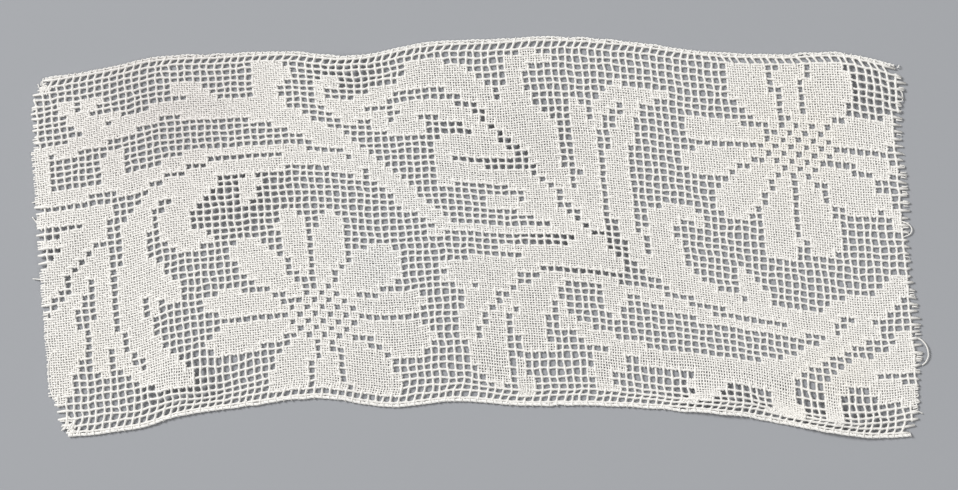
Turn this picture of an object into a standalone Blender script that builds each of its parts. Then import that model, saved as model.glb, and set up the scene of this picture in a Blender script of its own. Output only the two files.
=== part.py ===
"""Darned net lace border piece: a knotted square net with a flower and leaf scroll, laid flat.

The lace lies in the XY plane, +X along its length to the right, +Y to its upper edge, +Z up.
Its origin is under the middle of its box. Lengths in the tables are millimetres, and places in
the design are meshes of the net: columns from the left end and rows from the upper edge.
"""
import math
from typing import NamedTuple

import bmesh
import bpy
from mathutils import Vector
from mathutils.geometry import delaunay_2d_cdt

MM = 0.001

# Net and cloth
MESH_ROWS = 52
MESH_COLUMNS = 116
LACE_THICKNESS = 1.2
NET_BAR_WIDTH = 0.8
MESH_PITCH = 2.5

# Openings cut in the solid, each over two meshes by two
OPENING_MESHES = 2
MOST_OPENINGS = 284
OPENING_INSET = 0.5 * NET_BAR_WIDTH / MESH_PITCH

# Edge cords
UPPER_CORD_RADIUS = 0.5
LOWER_CORD_RADIUS = 0.6
CORD_GAP = 0.3
CORD_SIDES = 8
CORD_STEP_MESHES = 2

# Spacing of the solid's own points over darned cloth
SURFACE_STEP_MESHES = 4
EDGE_STEP_MESHES = 2


class Section(NamedTuple):
    """One column line of the net as laid, in millimetres from the lower middle of the lace."""
    column: float
    upper_edge: tuple
    upper_third: tuple
    lower_third: tuple
    lower_edge: tuple


SECTIONS = (
    Section(0, (-158, 120.5), (-155, 85), (-152, 42.5), (-149, 1)),
    Section(12, (-127.5, 125.5), (-124.5, 89.5), (-121, 46.5), (-118, 4.5)),
    Section(18, (-112, 129), (-109, 93), (-105.5, 51), (-102.5, 9)),
    Section(26, (-91.5, 130), (-88.5, 94.5), (-85, 53.5), (-82, 12)),
    Section(36, (-66, 131), (-62.5, 96), (-59, 55.5), (-56, 15)),
    Section(42, (-50, 129.5), (-46.5, 95), (-43.5, 55), (-40, 13)),
    Section(46, (-39.5, 130), (-36, 94.5), (-32.5, 54.5), (-29.5, 12)),
    Section(54, (-19, 134), (-15.5, 95), (-11.5, 56), (-8, 14)),
    Section(62, (2, 135), (6, 93.5), (9.5, 55), (13.5, 12.5)),
    Section(70, (23, 136), (27, 94.5), (31, 54), (35, 12.5)),
    Section(80, (49, 134.5), (53, 93), (57, 51), (61, 11.5)),
    Section(90, (75.5, 131), (79.5, 90), (83.5, 47.5), (87.5, 9)),
    Section(100, (101.5, 130), (105.5, 88.5), (109.5, 43.5), (113.5, 4.5)),
    Section(108, (122.5, 130.5), (126.5, 86.5), (130.5, 41), (134.5, 1.5)),
    Section(115, (141, 126.5), (145, 85), (149, 41), (153, 2.5)),
)
SECTION_ROWS = (0.0, 17.0, 35.0, 52.0)


class RawEnd(NamedTuple):
    """Where the net is cut off at a row: its first and last column."""
    row: float
    first: float
    last: float


RAW_ENDS = (
    RawEnd(0, 3.5, 115),
    RawEnd(2, 2, 116),
    RawEnd(4, 1.5, 115.5),
    RawEnd(8, 1.5, 115),
    RawEnd(20, 1, 115),
    RawEnd(24, 1, 114.5),
    RawEnd(28, 1, 114.5),
    RawEnd(34, 1, 115),
    RawEnd(40, 1, 115),
    RawEnd(46, 1.5, 114),
    RawEnd(50, 2, 113.5),
    RawEnd(52, 3, 112.5),
)


class Wave(NamedTuple):
    """A soft rise of the cloth off the table: its middle and reach in meshes, its height in mm."""
    column: float
    row: float
    reach_columns: float
    reach_rows: float
    height: float


WAVES = (
    Wave(18, 48.0, 8, 5, 1.8),
    Wave(43, 2.0, 7, 5, 1.2),
    Wave(26, 22.0, 12, 9, 1.0),
    Wave(62, 13.0, 13, 10, 1.2),
    Wave(72, 30.0, 12, 8, 1.4),
    Wave(88, 49.5, 9, 5, 2.0),
    Wave(103, 49.5, 10, 5, 2.4),
    Wave(111, 3.5, 7, 6, 1.4),
    Wave(3, 27.0, 6, 8, 1.0),
)


class Gather(NamedTuple):
    """Rows that are pushed together: middle and reach in meshes, and how far they move down, in mm."""
    column: float
    row: float
    reach_columns: float
    reach_rows: float
    push_down: float


GATHERS = (
    Gather(22, 48.4, 9, 4.6, 1.5),
    Gather(84, 48.8, 12, 4.6, 2.4),
    Gather(101, 48.4, 12, 4.8, 3.0),
)


class Leaf(NamedTuple):
    """A darned leaf or stem: places along its middle as column, row and width, in meshes."""
    name: str
    places: tuple


LEAVES = (
    Leaf("upper stem", ((1.5, 17.5, 3), (2.4, 13.5, 2.4), (6.5, 11.6, 2.2), (13, 9.6, 2.8),
                        (21, 8.3, 2.6), (29, 8.6, 3), (34, 10, 3.4), (38, 12.2, 3.2), (41.6, 14.8, 3.6),
                        (45.6, 18.4, 2.9), (49.8, 22.8, 2.9), (52.6, 25.8, 2.2), (54.6, 27.8, 1.4))),
    Leaf("upper stem leaf at the left", ((6, 5, 1.6), (7.5, 6.6, 3.2), (9.5, 8.2, 3.4), (15, 9.2, 2.4))),
    Leaf("upper stem curl at the left", ((10, 4.2, 1.4), (9, 5.2, 1.8), (8.2, 6.6, 2))),
    Leaf("upper stem leaf in the middle", ((20.6, 4.8, 1.6), (23, 5.6, 2.6), (26.5, 8.2, 3),
                                           (31, 9.2, 3))),
    Leaf("upper stem tall leaf", ((33.8, 1.6, 3), (33.2, 3.2, 4.8), (32.3, 6, 3.2), (33.6, 9.4, 4))),
    Leaf("stem filling", ((32.5, 9, 3.6), (36.5, 11.2, 3.2))),
    Leaf("second stem", ((0.8, 19, 2.2), (9.5, 18.6, 1.6), (17, 17.9, 2), (24, 15.6, 1.6),
                         (32, 15.6, 1.6), (36, 16.5, 2.2), (40, 17.2, 2.4), (43.4, 18.4, 2.4))),
    Leaf("second stem leaf", ((11.6, 13.8, 2), (11.4, 16.4, 2.8), (13.6, 18.6, 2.4), (19, 17.6, 2.2))),
    Leaf("second stem root", ((1.8, 11.8, 1.6), (1.8, 15, 2.4), (1.6, 19, 3))),
    Leaf("third stem", ((37, 17.2, 1.8), (31, 18, 1.8), (25.5, 18, 1.8), (20.6, 20, 3), (17, 21.6, 2.4),
                        (13.8, 25.5, 3.6), (13, 30.5, 4.2), (13.6, 35, 5.2), (13.2, 40, 3.8),
                        (15.4, 44.8, 4), (19.6, 47.2, 1.6))),
    Leaf("third stem lobe", ((14, 31.6, 4.2), (16.8, 34.4, 3.4), (18.6, 36.2, 1.8))),
    Leaf("third stem inner leaf", ((20.2, 20, 2.6), (19.2, 23.5, 4.2), (19.3, 27, 4.2),
                                   (20.8, 29.2, 1.8))),
    Leaf("third stem inner tip", ((19.8, 27.8, 2.4), (22.8, 28.2, 1.6))),
    Leaf("third stem outer leaf", ((24, 19.4, 2.4), (22.2, 22, 2.2), (20.4, 24, 2))),
    Leaf("third stem curl", ((29.6, 19.4, 1.8), (29.2, 21.6, 2.4), (28.2, 23, 1.4))),
    Leaf("left leaf upper band", ((0.8, 22, 2), (6, 21.9, 2), (10.6, 22, 1.6))),
    Leaf("left leaf middle band", ((0.8, 25.2, 1.4), (4.2, 25.4, 1.6), (8.6, 24.4, 3))),
    Leaf("left leaf wedge", ((8.4, 25, 2.2), (4.8, 28, 3), (1.4, 31.6, 3.6), (0.8, 33.2, 1.8))),
    Leaf("left leaf edge", ((0.6, 30.2, 1.8), (1.2, 33, 2.4))),
    Leaf("left leaf outer band", ((9.4, 27.6, 2), (6.4, 31, 3.4), (4.2, 34.6, 3.8), (3.2, 39, 4.8),
                                  (2.8, 43.5, 3.8), (2.2, 47, 1.8))),
    Leaf("left leaf inner lobe", ((9.4, 28, 2.2), (9.5, 33, 2.4), (9, 38, 3.6), (8.9, 42, 3.6),
                                  (8.8, 44.2, 2.2))),
    Leaf("left leaf foot", ((5, 38, 2.4), (4.6, 43, 1.6))),
    Leaf("top leaf curl", ((41.4, 3.6, 1.8), (39.6, 4.6, 1.6), (39.5, 7.4, 1.4), (42.4, 8.6, 2.6),
                           (45, 7.6, 2.2))),
    Leaf("top leaf", ((43, 9.4, 3), (46.5, 6.8, 2.6), (50.5, 5.3, 1.6), (56, 5.4, 2.2), (60, 8, 2.4),
                      (64, 12, 2.6))),
    Leaf("top leaf crown", ((51.6, 3, 1.4), (55, 3.6, 2.6), (58.4, 5, 3), (61, 7.6, 2.6))),
    Leaf("middle stem upper", ((60.4, 8.2, 2.2), (65, 12.4, 3.6), (69, 18.6, 3.2), (72.4, 24, 2.6),
                               (74.4, 28, 1.6))),
    Leaf("middle stem lower", ((42.6, 9.8, 1.8), (48, 8.6, 1.8), (52.5, 8.6, 2.6), (57.5, 10, 2.6),
                               (61.5, 13, 2.4), (65, 18, 2.6), (68.6, 22.6, 2.6), (72.2, 27.6, 2.6),
                               (75, 31.2, 2))),
    Leaf("top leaf underside", ((46.6, 10.8, 1.6), (49.6, 11.4, 3.6), (52.4, 12.2, 2.2))),
    Leaf("curl leaf", ((69, 2.4, 1.4), (65.8, 2.8, 2.4), (64.9, 5.4, 2.6), (65.4, 9.4, 4.2),
                       (67.8, 13, 4.8), (68.6, 17.6, 3), (71, 22.4, 3))),
    Leaf("second leaf upper lobe", ((55.4, 14.6, 2.4), (59, 14.6, 2.6), (63.6, 15.2, 2))),
    Leaf("second leaf root", ((54.9, 14.6, 1.8), (55.2, 17.6, 2.6), (54.8, 20.2, 1.6))),
    Leaf("second leaf lower lobe", ((55.6, 18.6, 3), (60, 18.8, 2.6), (65, 19.8, 3), (69.5, 24.4, 3))),
    Leaf("third leaf", ((60.6, 23.4, 2), (64.6, 23.2, 3), (69.6, 26, 2.6), (73.6, 29.6, 2.6))),
    Leaf("fourth leaf", ((52.6, 28.4, 1.4), (56.6, 27.3, 1), (62.4, 27.4, 1.2), (68.4, 28, 1.4),
                         (72.6, 29.8, 2))),
    Leaf("fifth leaf", ((62, 30.6, 1.8), (66, 31.2, 3), (70.6, 31.7, 2.9), (76, 31.7, 2.6))),
    Leaf("right upright leaf left side", ((78.4, 6.6, 2.4), (75.6, 9.2, 2), (73.6, 13.4, 2.6),
                                          (73.6, 18, 2.2), (73.8, 23, 2.6), (74, 27.6, 1.4))),
    Leaf("right upright leaf middle", ((72.6, 8.6, 1.8), (73, 12, 2.4))),
    Leaf("right upright leaf right side", ((84.4, 6.6, 1.2), (81, 7, 2.6), (79.2, 9.6, 2.8),
                                           (78, 13.8, 3.2), (77.2, 19, 3), (77.8, 25, 2.6),
                                           (79.4, 30.4, 1.8), (81.6, 32.6, 1.8))),
    Leaf("curled leaf on the right", ((87.4, 23.8, 1.6), (85, 22.9, 2.2), (82.6, 24.8, 3.4),
                                      (82.6, 28, 4), (83.4, 31.6, 3.6), (86, 33.6, 3))),
    Leaf("lower stem upper band", ((80.8, 31, 2), (84, 33, 3.4), (89.6, 35.2, 2.6), (96, 36, 2.2),
                                   (102, 36, 2.2), (106.6, 34.2, 3.8), (110.6, 33.2, 3),
                                   (113.2, 30.2, 2.6))),
    Leaf("lower stem side lobe", ((92.4, 30.6, 1.4), (93.8, 33, 3), (95.6, 35.4, 2.4))),
    Leaf("lower stem lower band", ((64, 32.4, 1.8), (68, 34.5, 1.5), (75, 34.6, 1.5), (80.6, 35.9, 2.2),
                                   (85.6, 37.6, 1.6), (92, 38.4, 1.2), (98.6, 37.9, 1.6),
                                   (104, 36.6, 1.6))),
    Leaf("swan leaf outer", ((64, 33, 2.4), (58.6, 34.2, 3.4), (58.4, 37, 3), (58.1, 40.4, 5.4),
                             (58.2, 44.6, 5), (59.6, 48.4, 2.8))),
    Leaf("swan leaf neck", ((54, 33.6, 1.6), (58.2, 33.8, 2.8), (62, 33.6, 3.2))),
    Leaf("swan leaf beak", ((54.2, 35.4, 1.8), (58.2, 35.4, 3.4), (61.6, 35, 3.4))),
    Leaf("swan leaf inner", ((67.4, 35.4, 2.6), (64.4, 37.4, 3.2), (61.4, 39.6, 2.8), (60.2, 42.2, 2.4),
                             (59.6, 46, 2.4))),
    Leaf("swan leaf tongue", ((65.8, 36.6, 4.2), (64.3, 40, 4.3), (64.4, 43, 3.6), (65.8, 44.3, 2))),
    Leaf("lower leaf top", ((68.6, 38.8, 1.4), (68.9, 40.6, 1.8), (70.8, 42.2, 1.9), (73.8, 43.2, 2),
                            (78, 44.4, 2.2), (83, 45.1, 2.2), (89, 45.4, 2.4), (95, 45, 3.2),
                            (100, 42.2, 2.6), (104.6, 39, 2.4), (108.6, 36.6, 2.6))),
    Leaf("lower leaf drop", ((75.6, 34.6, 2.6), (75.4, 37.4, 2.2), (75.2, 38.9, 1.6))),
    Leaf("small leaf below", ((62.8, 46.2, 1.4), (62.8, 48, 1.4), (63, 49.6, 2.6))),
    Leaf("small hook below", ((75.2, 45.4, 2.4), (73.2, 46.6, 3), (72.9, 48.2, 2.4), (73.9, 49.4, 1.8))),
    Leaf("lower scroll", ((84.4, 47.4, 1.2), (88, 46.8, 2.6), (86, 48.6, 2.4), (84.2, 50.2, 1.6))),
    Leaf("right foot", ((96.4, 45, 3), (97, 48, 3), (96.4, 51, 4.2))),
    Leaf("right corner scroll", ((103.4, 50.2, 1.6), (103.4, 47.2, 2.6), (104.8, 44.6, 3.2),
                                 (107.6, 42.8, 3.4), (111.2, 41.2, 3.2), (113.4, 38.4, 2.2))),
    Leaf("right corner leaf", ((105, 44.2, 2.4), (109, 45.2, 2.8), (113.4, 46.2, 3.2))),
    Leaf("right end leaf", ((112.4, 43, 2.4), (113.2, 38, 2.2))),
    Leaf("right flower side leaf", ((113.6, 8, 2), (112.4, 9.8, 3.2))),
    Leaf("right end stem", ((112.6, 18.6, 1), (113.6, 22.2, 1.6))),
    Leaf("third stem heel", ((10.6, 40.5, 1.6), (11.6, 43.4, 2.4), (13.6, 45.6, 2.4), (17, 47, 2))),
)


class Flower(NamedTuple):
    """A flower: its middle as column and row, and the reach of its pierced eye, in meshes."""
    name: str
    column: float
    row: float
    eye: float


FLOWERS = (
    Flower("left", 37.7, 40.6, 4.6),
    Flower("right", 101.4, 12.8, 4.4),
)


class Petal(NamedTuple):
    """A petal: its flower, its tip across and down from the flower's middle, and its width, in meshes."""
    flower: str
    across: float
    down: float
    width: float


PETALS = (
    Petal("left", -4, -15.6, 4.6),
    Petal("left", 2.1, -15.2, 4.2),
    Petal("left", 10, -9.8, 6.8),
    Petal("left", 12.8, -2.2, 4.8),
    Petal("left", 13.8, 3.5, 5.6),
    Petal("left", 8.2, 11.6, 6.4),
    Petal("left", 0.8, 12, 4.6),
    Petal("left", -6.2, 11.6, 6),
    Petal("left", -15.4, 3, 4.8),
    Petal("left", -15.4, -2.9, 4.4),
    Petal("left", -11, -11.2, 5.6),
    Petal("right", -7.2, -12.2, 6.6),
    Petal("right", 0.3, -12.4, 5.4),
    Petal("right", 6.2, -12, 7),
    Petal("right", 12.8, -3.6, 5.2),
    Petal("right", 12.2, 1.8, 3.8),
    Petal("right", 9.8, 7.6, 6.2),
    Petal("right", 2.6, 14.4, 5.2),
    Petal("right", -4, 15.4, 6),
    Petal("right", -11, 9.4, 5.6),
    Petal("right", -15.4, 2.8, 4.6),
    Petal("right", -14.6, -2.6, 4.8),
)


class Vein(NamedTuple):
    """A line of meshes left open between darned parts, as columns and rows."""
    name: str
    places: tuple


VEINS = (
    Vein("second stem", ((33.5, 16.5), (24.5, 16.5), (23.5, 17.6), (21.5, 17.6), (20.5, 18.6),
                         (18.5, 18.8))),
    Vein("left band", ((1.5, 20.5), (12.5, 20.5))),
    Vein("left rib", ((10.5, 23.5), (10.5, 38.5), (11.5, 39.5), (11.5, 41.5), (12.5, 42.5),
                      (13.5, 44.5))),
    Vein("left rib beside", ((11.5, 23.5), (11.5, 29.5))),
    Vein("left diagonal", ((8.5, 26.5), (5.5, 29.5), (4.5, 30.5), (4.5, 32), (1.5, 34.8))),
    Vein("left inner rib", ((6.5, 36.5), (6.5, 44.5))),
    Vein("left outer edge", ((3.5, 12.5), (3.5, 15.5))),
    Vein("third stem inner", ((18.5, 22.3), (16.5, 24.3), (16.5, 26))),
    Vein("top leaf", ((45.5, 8.9), (48.5, 8.5), (48.5, 7.5), (50.5, 7), (56.5, 7), (57.5, 8.3),
                      (58.5, 8.3), (59.5, 9.3), (66.5, 17.5), (66.5, 18.4), (69.5, 21.5), (69.5, 23),
                      (73.5, 27.4), (75.5, 28.2))),
    Vein("second leaf", ((57.5, 16.8), (65.5, 16.8))),
    Vein("upright leaf", ((78.5, 8.6), (77.5, 10.5), (76.5, 12), (76.5, 14), (75.5, 15), (75.5, 29.5))),
    Vein("upright leaf left", ((71.3, 9.5), (71.3, 20.5))),
    Vein("upright leaf fork", ((74.5, 8.3), (74.5, 10.5))),
    Vein("lower stem rib", ((66.5, 33.5), (80.5, 33.5), (82.5, 35), (84.5, 35.2), (85.5, 36.2),
                            (87.5, 36.3), (88.5, 37.2), (97.5, 37.2))),
    Vein("swan leaf", ((64.5, 35.5), (63.5, 35.6), (62.5, 36.5), (61.5, 37.5), (60.5, 38.5), (58.5, 40.5),
                       (58.5, 41.5), (57.5, 42.5), (57.5, 43.5))),
    Vein("swan leaf tongue", ((61.5, 40.5), (61.5, 45.5))),
    Vein("third leaf", ((55.5, 21.5), (64.5, 21.2))),
    Vein("fourth leaf", ((64.5, 28.7), (70.5, 28.5))),
    Vein("curled leaf", ((85.5, 25.5), (85.5, 29.5))),
    Vein("right corner", ((109.5, 43.5), (112.5, 43.5), (112.6, 44.5), (113.5, 44.6))),
    Vein("upper stem slit", ((40.6, 15.6), (41.5, 15.6), (42.5, 16.6))),
    Vein("top leaf fork", ((49.5, 9.6), (48.5, 10.6))),
    Vein("flower stalk slit", ((105.5, 35.5), (106.5, 35.5), (104.5, 36.5))),
    Vein("fifth leaf slit", ((62.5, 31.3), (63.5, 31.2))),
    Vein("third leaf slit", ((64.5, 22.4), (64.5, 22.6))),
    Vein("curl at the left", ((7.5, 5.5), (7.6, 5.5))),
    Vein("curl at the left, second", ((9.5, 6.5), (9.6, 6.5))),
    Vein("upper stem eyelet", ((11.6, 8.6), (11.7, 8.6))),
    Vein("curl leaf eyelets", ((63.6, 13.6), (63.6, 13.7))),
    Vein("upper stem second eyelet", ((44.4, 18.6), (44.5, 18.6))),
    Vein("third stem tongue", ((9.5, 41.5), (9.5, 44.5))),
    Vein("upper stem back row", ((18.5, 9.8), (20.5, 9.8))),
    Vein("left inner rib top", ((7.5, 31.5), (7.5, 36.5))),
    Vein("left inner rib side", ((6.5, 33), (6.5, 37.5))),
    Vein("left inner rib foot", ((5.5, 35.5), (5.5, 37.5))),
    Vein("third stem notch", ((14.5, 35.5), (14.5, 37.5))),
    Vein("top leaf, upper", ((50.5, 6.5), (53.5, 6.5))),
    Vein("second leaf, right", ((62.5, 17.6), (66.5, 17.8))),
    Vein("lower stem rib beside", ((76.5, 34.5), (81.5, 34.5))),
    Vein("swan leaf tongue foot", ((62.5, 43.5), (62.5, 44.5))),
    Vein("swan leaf eyelet", ((62.5, 39.4), (62.6, 39.4))),
    Vein("swan leaf eye", ((57.5, 36.4), (57.6, 36.4))),
    Vein("right corner, upper", ((105.5, 45.5), (107.5, 45.5))),
    Vein("right corner, lower", ((104.5, 46.5), (108.5, 46.5))),
    Vein("right corner eyelet", ((104.5, 47.5), (104.6, 47.5))),
)

# Shape of a petal: how full its outline is, and its width at the root and at the tip
PETAL_FULLNESS = 4.6
PETAL_ROOT_WIDTH = 0.55
PETAL_TIP_GAIN = 0.6
PETAL_START = 0.1

# Drawing of the design: points on a stretch of a leaf, points a mesh on a vein, a flower's filled middle
LEAF_STEPS = 14
VEIN_STEPS = 3
EYE_MIDDLE = 0.6

# How steeply the waves and gathers fall off
BUMP_POWER = 1.2

# Points of the sheet that are nearer than this, in meshes, are one
SAME_PLACE = 1e-6


def remove_all_objects():
    """Empty the scene."""
    for old in list(bpy.data.objects):
        bpy.data.objects.remove(old, do_unlink=True)


def blend_through(before, start, end, after, share):
    """Point of a Catmull-Rom curve from start to end, share of the way along."""
    out = []
    for a, b, c, d in zip(before, start, end, after):
        out.append(0.5 * (2 * b + (c - a) * share
                          + (2 * a - 5 * b + 4 * c - d) * share ** 2
                          + (3 * b - a - 3 * c + d) * share ** 3))
    return tuple(out)


def on_curve(stations, values, at):
    """Value of a soft curve through values at stations, each value a tuple of numbers."""
    last = len(stations) - 2
    place = 0
    while place < last and at > stations[place + 1]:
        place += 1
    width = stations[place + 1] - stations[place]
    share = (at - stations[place]) / width
    out = []
    for axis in range(len(values[0])):
        start, end = values[place][axis], values[place + 1][axis]
        slope = (end - start) / width
        slope_in, slope_out = slope, slope
        if place > 0:
            slope_in = (end - values[place - 1][axis]) / (stations[place + 1] - stations[place - 1])
        if place < last:
            slope_out = (values[place + 2][axis] - start) / (stations[place + 2] - stations[place])
        out.append((2 * share ** 3 - 3 * share ** 2 + 1) * start
                   + (share ** 3 - 2 * share ** 2 + share) * width * slope_in
                   + (3 * share ** 2 - 2 * share ** 3) * end
                   + (share ** 3 - share ** 2) * width * slope_out)
    return tuple(out)


def soft_bump(column, row, bump):
    """From 1 at a bump's middle down to 0 at its reach."""
    across = (column - bump.column) / bump.reach_columns
    down = (row - bump.row) / bump.reach_rows
    away = min(1.0, math.hypot(across, down))
    return (0.5 + 0.5 * math.cos(math.pi * away)) ** BUMP_POWER


def laid(column, row):
    """Place of a mesh corner as the lace is laid, x and y in mm, and its rise off the table."""
    stations = [section.column for section in SECTIONS]
    lines = []
    for name in ("upper_edge", "upper_third", "lower_third", "lower_edge"):
        lines.append(on_curve(stations, [getattr(section, name) for section in SECTIONS], column))
    x, y = on_curve(SECTION_ROWS, lines, row)
    for gather in GATHERS:
        y -= gather.push_down * soft_bump(column, row, gather)
    rise = sum(wave.height * soft_bump(column, row, wave) for wave in WAVES)
    return x, y, rise


def end_columns(row):
    """First and last column of the net at a row."""
    place = 0
    while place < len(RAW_ENDS) - 2 and row > RAW_ENDS[place + 1].row:
        place += 1
    start, end = RAW_ENDS[place], RAW_ENDS[place + 1]
    share = (row - start.row) / (end.row - start.row)
    first = start.first + (end.first - start.first) * share
    last = start.last + (end.last - start.last) * share
    return first, last


def darn_leaves(darned):
    """Fill the meshes under each leaf's stroke."""
    for leaf in LEAVES:
        places = [leaf.places[0], *leaf.places, leaf.places[-1]]
        for before, start, end, after in zip(places, places[1:], places[2:], places[3:]):
            for step in range(LEAF_STEPS + 1):
                column, row, width = blend_through(before, start, end, after, step / LEAF_STEPS)
                reach = int(width / 2) + 1
                for r in range(int(row) - reach, int(row) + reach + 1):
                    for c in range(int(column) - reach, int(column) + reach + 1):
                        if math.hypot(c + 0.5 - column, r + 0.5 - row) < width / 2:
                            darned.add((c, r))


def petal_share(flower, petal, column, row):
    """How far a place is from a petal's midline, as a share of its half width, or None outside it."""
    length = math.hypot(petal.across, petal.down)
    across, down = petal.across / length, petal.down / length
    away_x, away_y = column - flower.column, row - flower.row
    along = (away_x * across + away_y * down) / length
    aside = abs(away_y * across - away_x * down)
    if not PETAL_START < along < 1:
        return None
    swell = math.sqrt(min(1.0, PETAL_FULLNESS * along * (1 - along)))
    half = petal.width / 2 * swell * (PETAL_ROOT_WIDTH + PETAL_TIP_GAIN * along)
    return aside / half if aside < half else None


def darn_petals(darned):
    """Fill the petals, with a line of open meshes where two of them meet."""
    flowers = {flower.name: flower for flower in FLOWERS}
    owner = {}
    for c in range(MESH_COLUMNS):
        for r in range(MESH_ROWS):
            shares = []
            for number, petal in enumerate(PETALS):
                share = petal_share(flowers[petal.flower], petal, c + 0.5, r + 0.5)
                if share is not None:
                    shares.append((share, number))
            if shares:
                owner[c, r] = min(shares)[1]
    darned.update(owner)
    for (c, r), number in owner.items():
        neighbours = (owner.get((c + 1, r), number), owner.get((c, r + 1), number))
        if neighbours != (number, number):
            darned.discard((c, r))


def pierce_eyes(darned):
    """Leave every second mesh open in the middle of each flower."""
    for flower in FLOWERS:
        for c in range(MESH_COLUMNS):
            for r in range(MESH_ROWS):
                away = math.hypot(c + 0.5 - flower.column, r + 0.5 - flower.row)
                if away >= flower.eye:
                    continue
                if (c + r) % 2 == 0 and away > EYE_MIDDLE:
                    darned.discard((c, r))
                else:
                    darned.add((c, r))


def open_veins(darned):
    """Leave the meshes along each vein open."""
    for vein in VEINS:
        for start, end in zip(vein.places, vein.places[1:]):
            steps = max(2, round(VEIN_STEPS * max(abs(end[0] - start[0]), abs(end[1] - start[1]))))
            for step in range(steps + 1):
                share = step / steps
                column = start[0] + (end[0] - start[0]) * share
                row = start[1] + (end[1] - start[1]) * share
                darned.discard((int(column), int(row)))


def darned_meshes():
    """The meshes, as column and row, that are filled with cloth stitch."""
    darned = set()
    darn_leaves(darned)
    darn_petals(darned)
    pierce_eyes(darned)
    open_veins(darned)
    return {(c, r) for c, r in darned if 0 < r < MESH_ROWS - 1}


def openness(corner, darned):
    """How many open meshes lie round a two by two opening."""
    c, r = corner
    around = range(-2, OPENING_MESHES + 2)
    return sum((c + i, r + j) not in darned for i in around for j in around)


def opening_corners(darned):
    """First column and row of each two by two opening, the most open net first."""
    found, used = [], set()
    span = range(OPENING_MESHES)
    for r in range(1, MESH_ROWS - OPENING_MESHES):
        first, _ = end_columns(r)
        _, last = end_columns(r + OPENING_MESHES)
        for c in range(int(first) + 2, int(last) - OPENING_MESHES):
            block = {(c + i, r + j) for i in span for j in span}
            if block & darned or block & used:
                continue
            found.append((c, r))
            used |= block
    found.sort(key=lambda corner: (-openness(corner, darned), corner))
    return found[:MOST_OPENINGS]


def outline_places():
    """Column and row of the net's outline, all the way round."""
    first, last = RAW_ENDS[0].first, RAW_ENDS[0].last
    count = round((last - first) / EDGE_STEP_MESHES)
    upper = [(first + (last - first) * k / count, 0.0) for k in range(count + 1)]
    right = [(end.last, end.row) for end in RAW_ENDS[1:]]
    first, last = RAW_ENDS[-1].first, RAW_ENDS[-1].last
    count = round((last - first) / EDGE_STEP_MESHES)
    lower = [(last - (last - first) * k / count, float(MESH_ROWS)) for k in range(1, count + 1)]
    left = [(end.first, end.row) for end in reversed(RAW_ENDS[1:-1])]
    return upper + right + lower + left


def opening_loop(corner):
    """Column and row of the four corners of an opening, inside the net's bars."""
    c, r = corner
    low, high = OPENING_INSET, OPENING_MESHES - OPENING_INSET
    return [(c + low, r + low), (c + high, r + low), (c + high, r + high), (c + low, r + high)]


def inside(place, loop):
    """True where a place lies inside a closed loop."""
    x, y = place
    hit = False
    for (ax, ay), (bx, by) in zip(loop, loop[1:] + loop[:1]):
        if (ay > y) != (by > y) and x < ax + (bx - ax) * (y - ay) / (by - ay):
            hit = not hit
    return hit


def surface_places(corners):
    """Places over uncut cloth where the solid needs points to follow its waves."""
    span = range(OPENING_MESHES + 1)
    cut = {(c + i, r + j) for c, r in corners for i in span for j in span}
    places = []
    for r in range(SURFACE_STEP_MESHES // 2, MESH_ROWS, SURFACE_STEP_MESHES):
        first, last = end_columns(r)
        for c in range(SURFACE_STEP_MESHES // 2, MESH_COLUMNS, SURFACE_STEP_MESHES):
            if first + 1 < c < last - 1 and (c, r) not in cut:
                places.append((float(c), float(r)))
    return places


def add_object(name, mesh, material):
    """Link a mesh into the scene as a named object with its material."""
    made = bpy.data.objects.new(name, mesh)
    made.data.materials.append(material)
    bpy.context.scene.collection.objects.link(made)
    return made


def thread_material(name, colour, roughness):
    """Plain matt thread finish."""
    material = bpy.data.materials.new(name)
    material.use_nodes = True
    shader = material.node_tree.nodes["Principled BSDF"]
    shader.inputs["Base Color"].default_value = (*colour, 1.0)
    shader.inputs["Roughness"].default_value = roughness
    shader.inputs["Metallic"].default_value = 0.0
    return material


def build_lace_ground(material):
    """The net and its darning as one sheet, with openings where the net is bare."""
    outline = outline_places()
    corners = opening_corners(darned_meshes())
    loops = [outline] + [opening_loop(corner) for corner in corners]
    places, edges = [], []
    for loop in loops:
        start = len(places)
        places += loop
        edges += [(start + k, start + (k + 1) % len(loop)) for k in range(len(loop))]
    places += surface_places(corners)
    points, _, faces, _, _, _ = delaunay_2d_cdt([Vector(p) for p in places], edges, [], 0, SAME_PLACE)
    holes = {}
    for number, (c, r) in enumerate(corners):
        for i in range(OPENING_MESHES):
            for j in range(OPENING_MESHES):
                holes[c + i, r + j] = loops[number + 1]
    kept = []
    for face in faces:
        middle = (sum(points[k].x for k in face) / 3, sum(points[k].y for k in face) / 3)
        hole = holes.get((int(middle[0]), int(middle[1])))
        if inside(middle, outline) and not (hole and inside(middle, hole)):
            kept.append(face)
    sheet = bmesh.new()
    under, over = [], []
    for point in points:
        x, y, rise = laid(point.x, point.y)
        under.append(sheet.verts.new((x * MM, y * MM, rise * MM)))
        over.append(sheet.verts.new((x * MM, y * MM, (rise + LACE_THICKNESS) * MM)))
    sides = {}
    for face in kept:
        sheet.faces.new([over[k] for k in face])
        sheet.faces.new([under[k] for k in reversed(face)])
        for a, b in zip(face, face[1:] + face[:1]):
            sides[a, b] = True
    for a, b in sides:
        if (b, a) not in sides:
            sheet.faces.new([under[a], under[b], over[b], over[a]])
    loose = [vert for vert in sheet.verts if not vert.link_faces]
    bmesh.ops.delete(sheet, geom=loose, context="VERTS")
    bmesh.ops.recalc_face_normals(sheet, faces=sheet.faces)
    mesh = bpy.data.meshes.new("lace_ground")
    sheet.to_mesh(mesh)
    sheet.free()
    return add_object("lace_ground", mesh, material)


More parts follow.
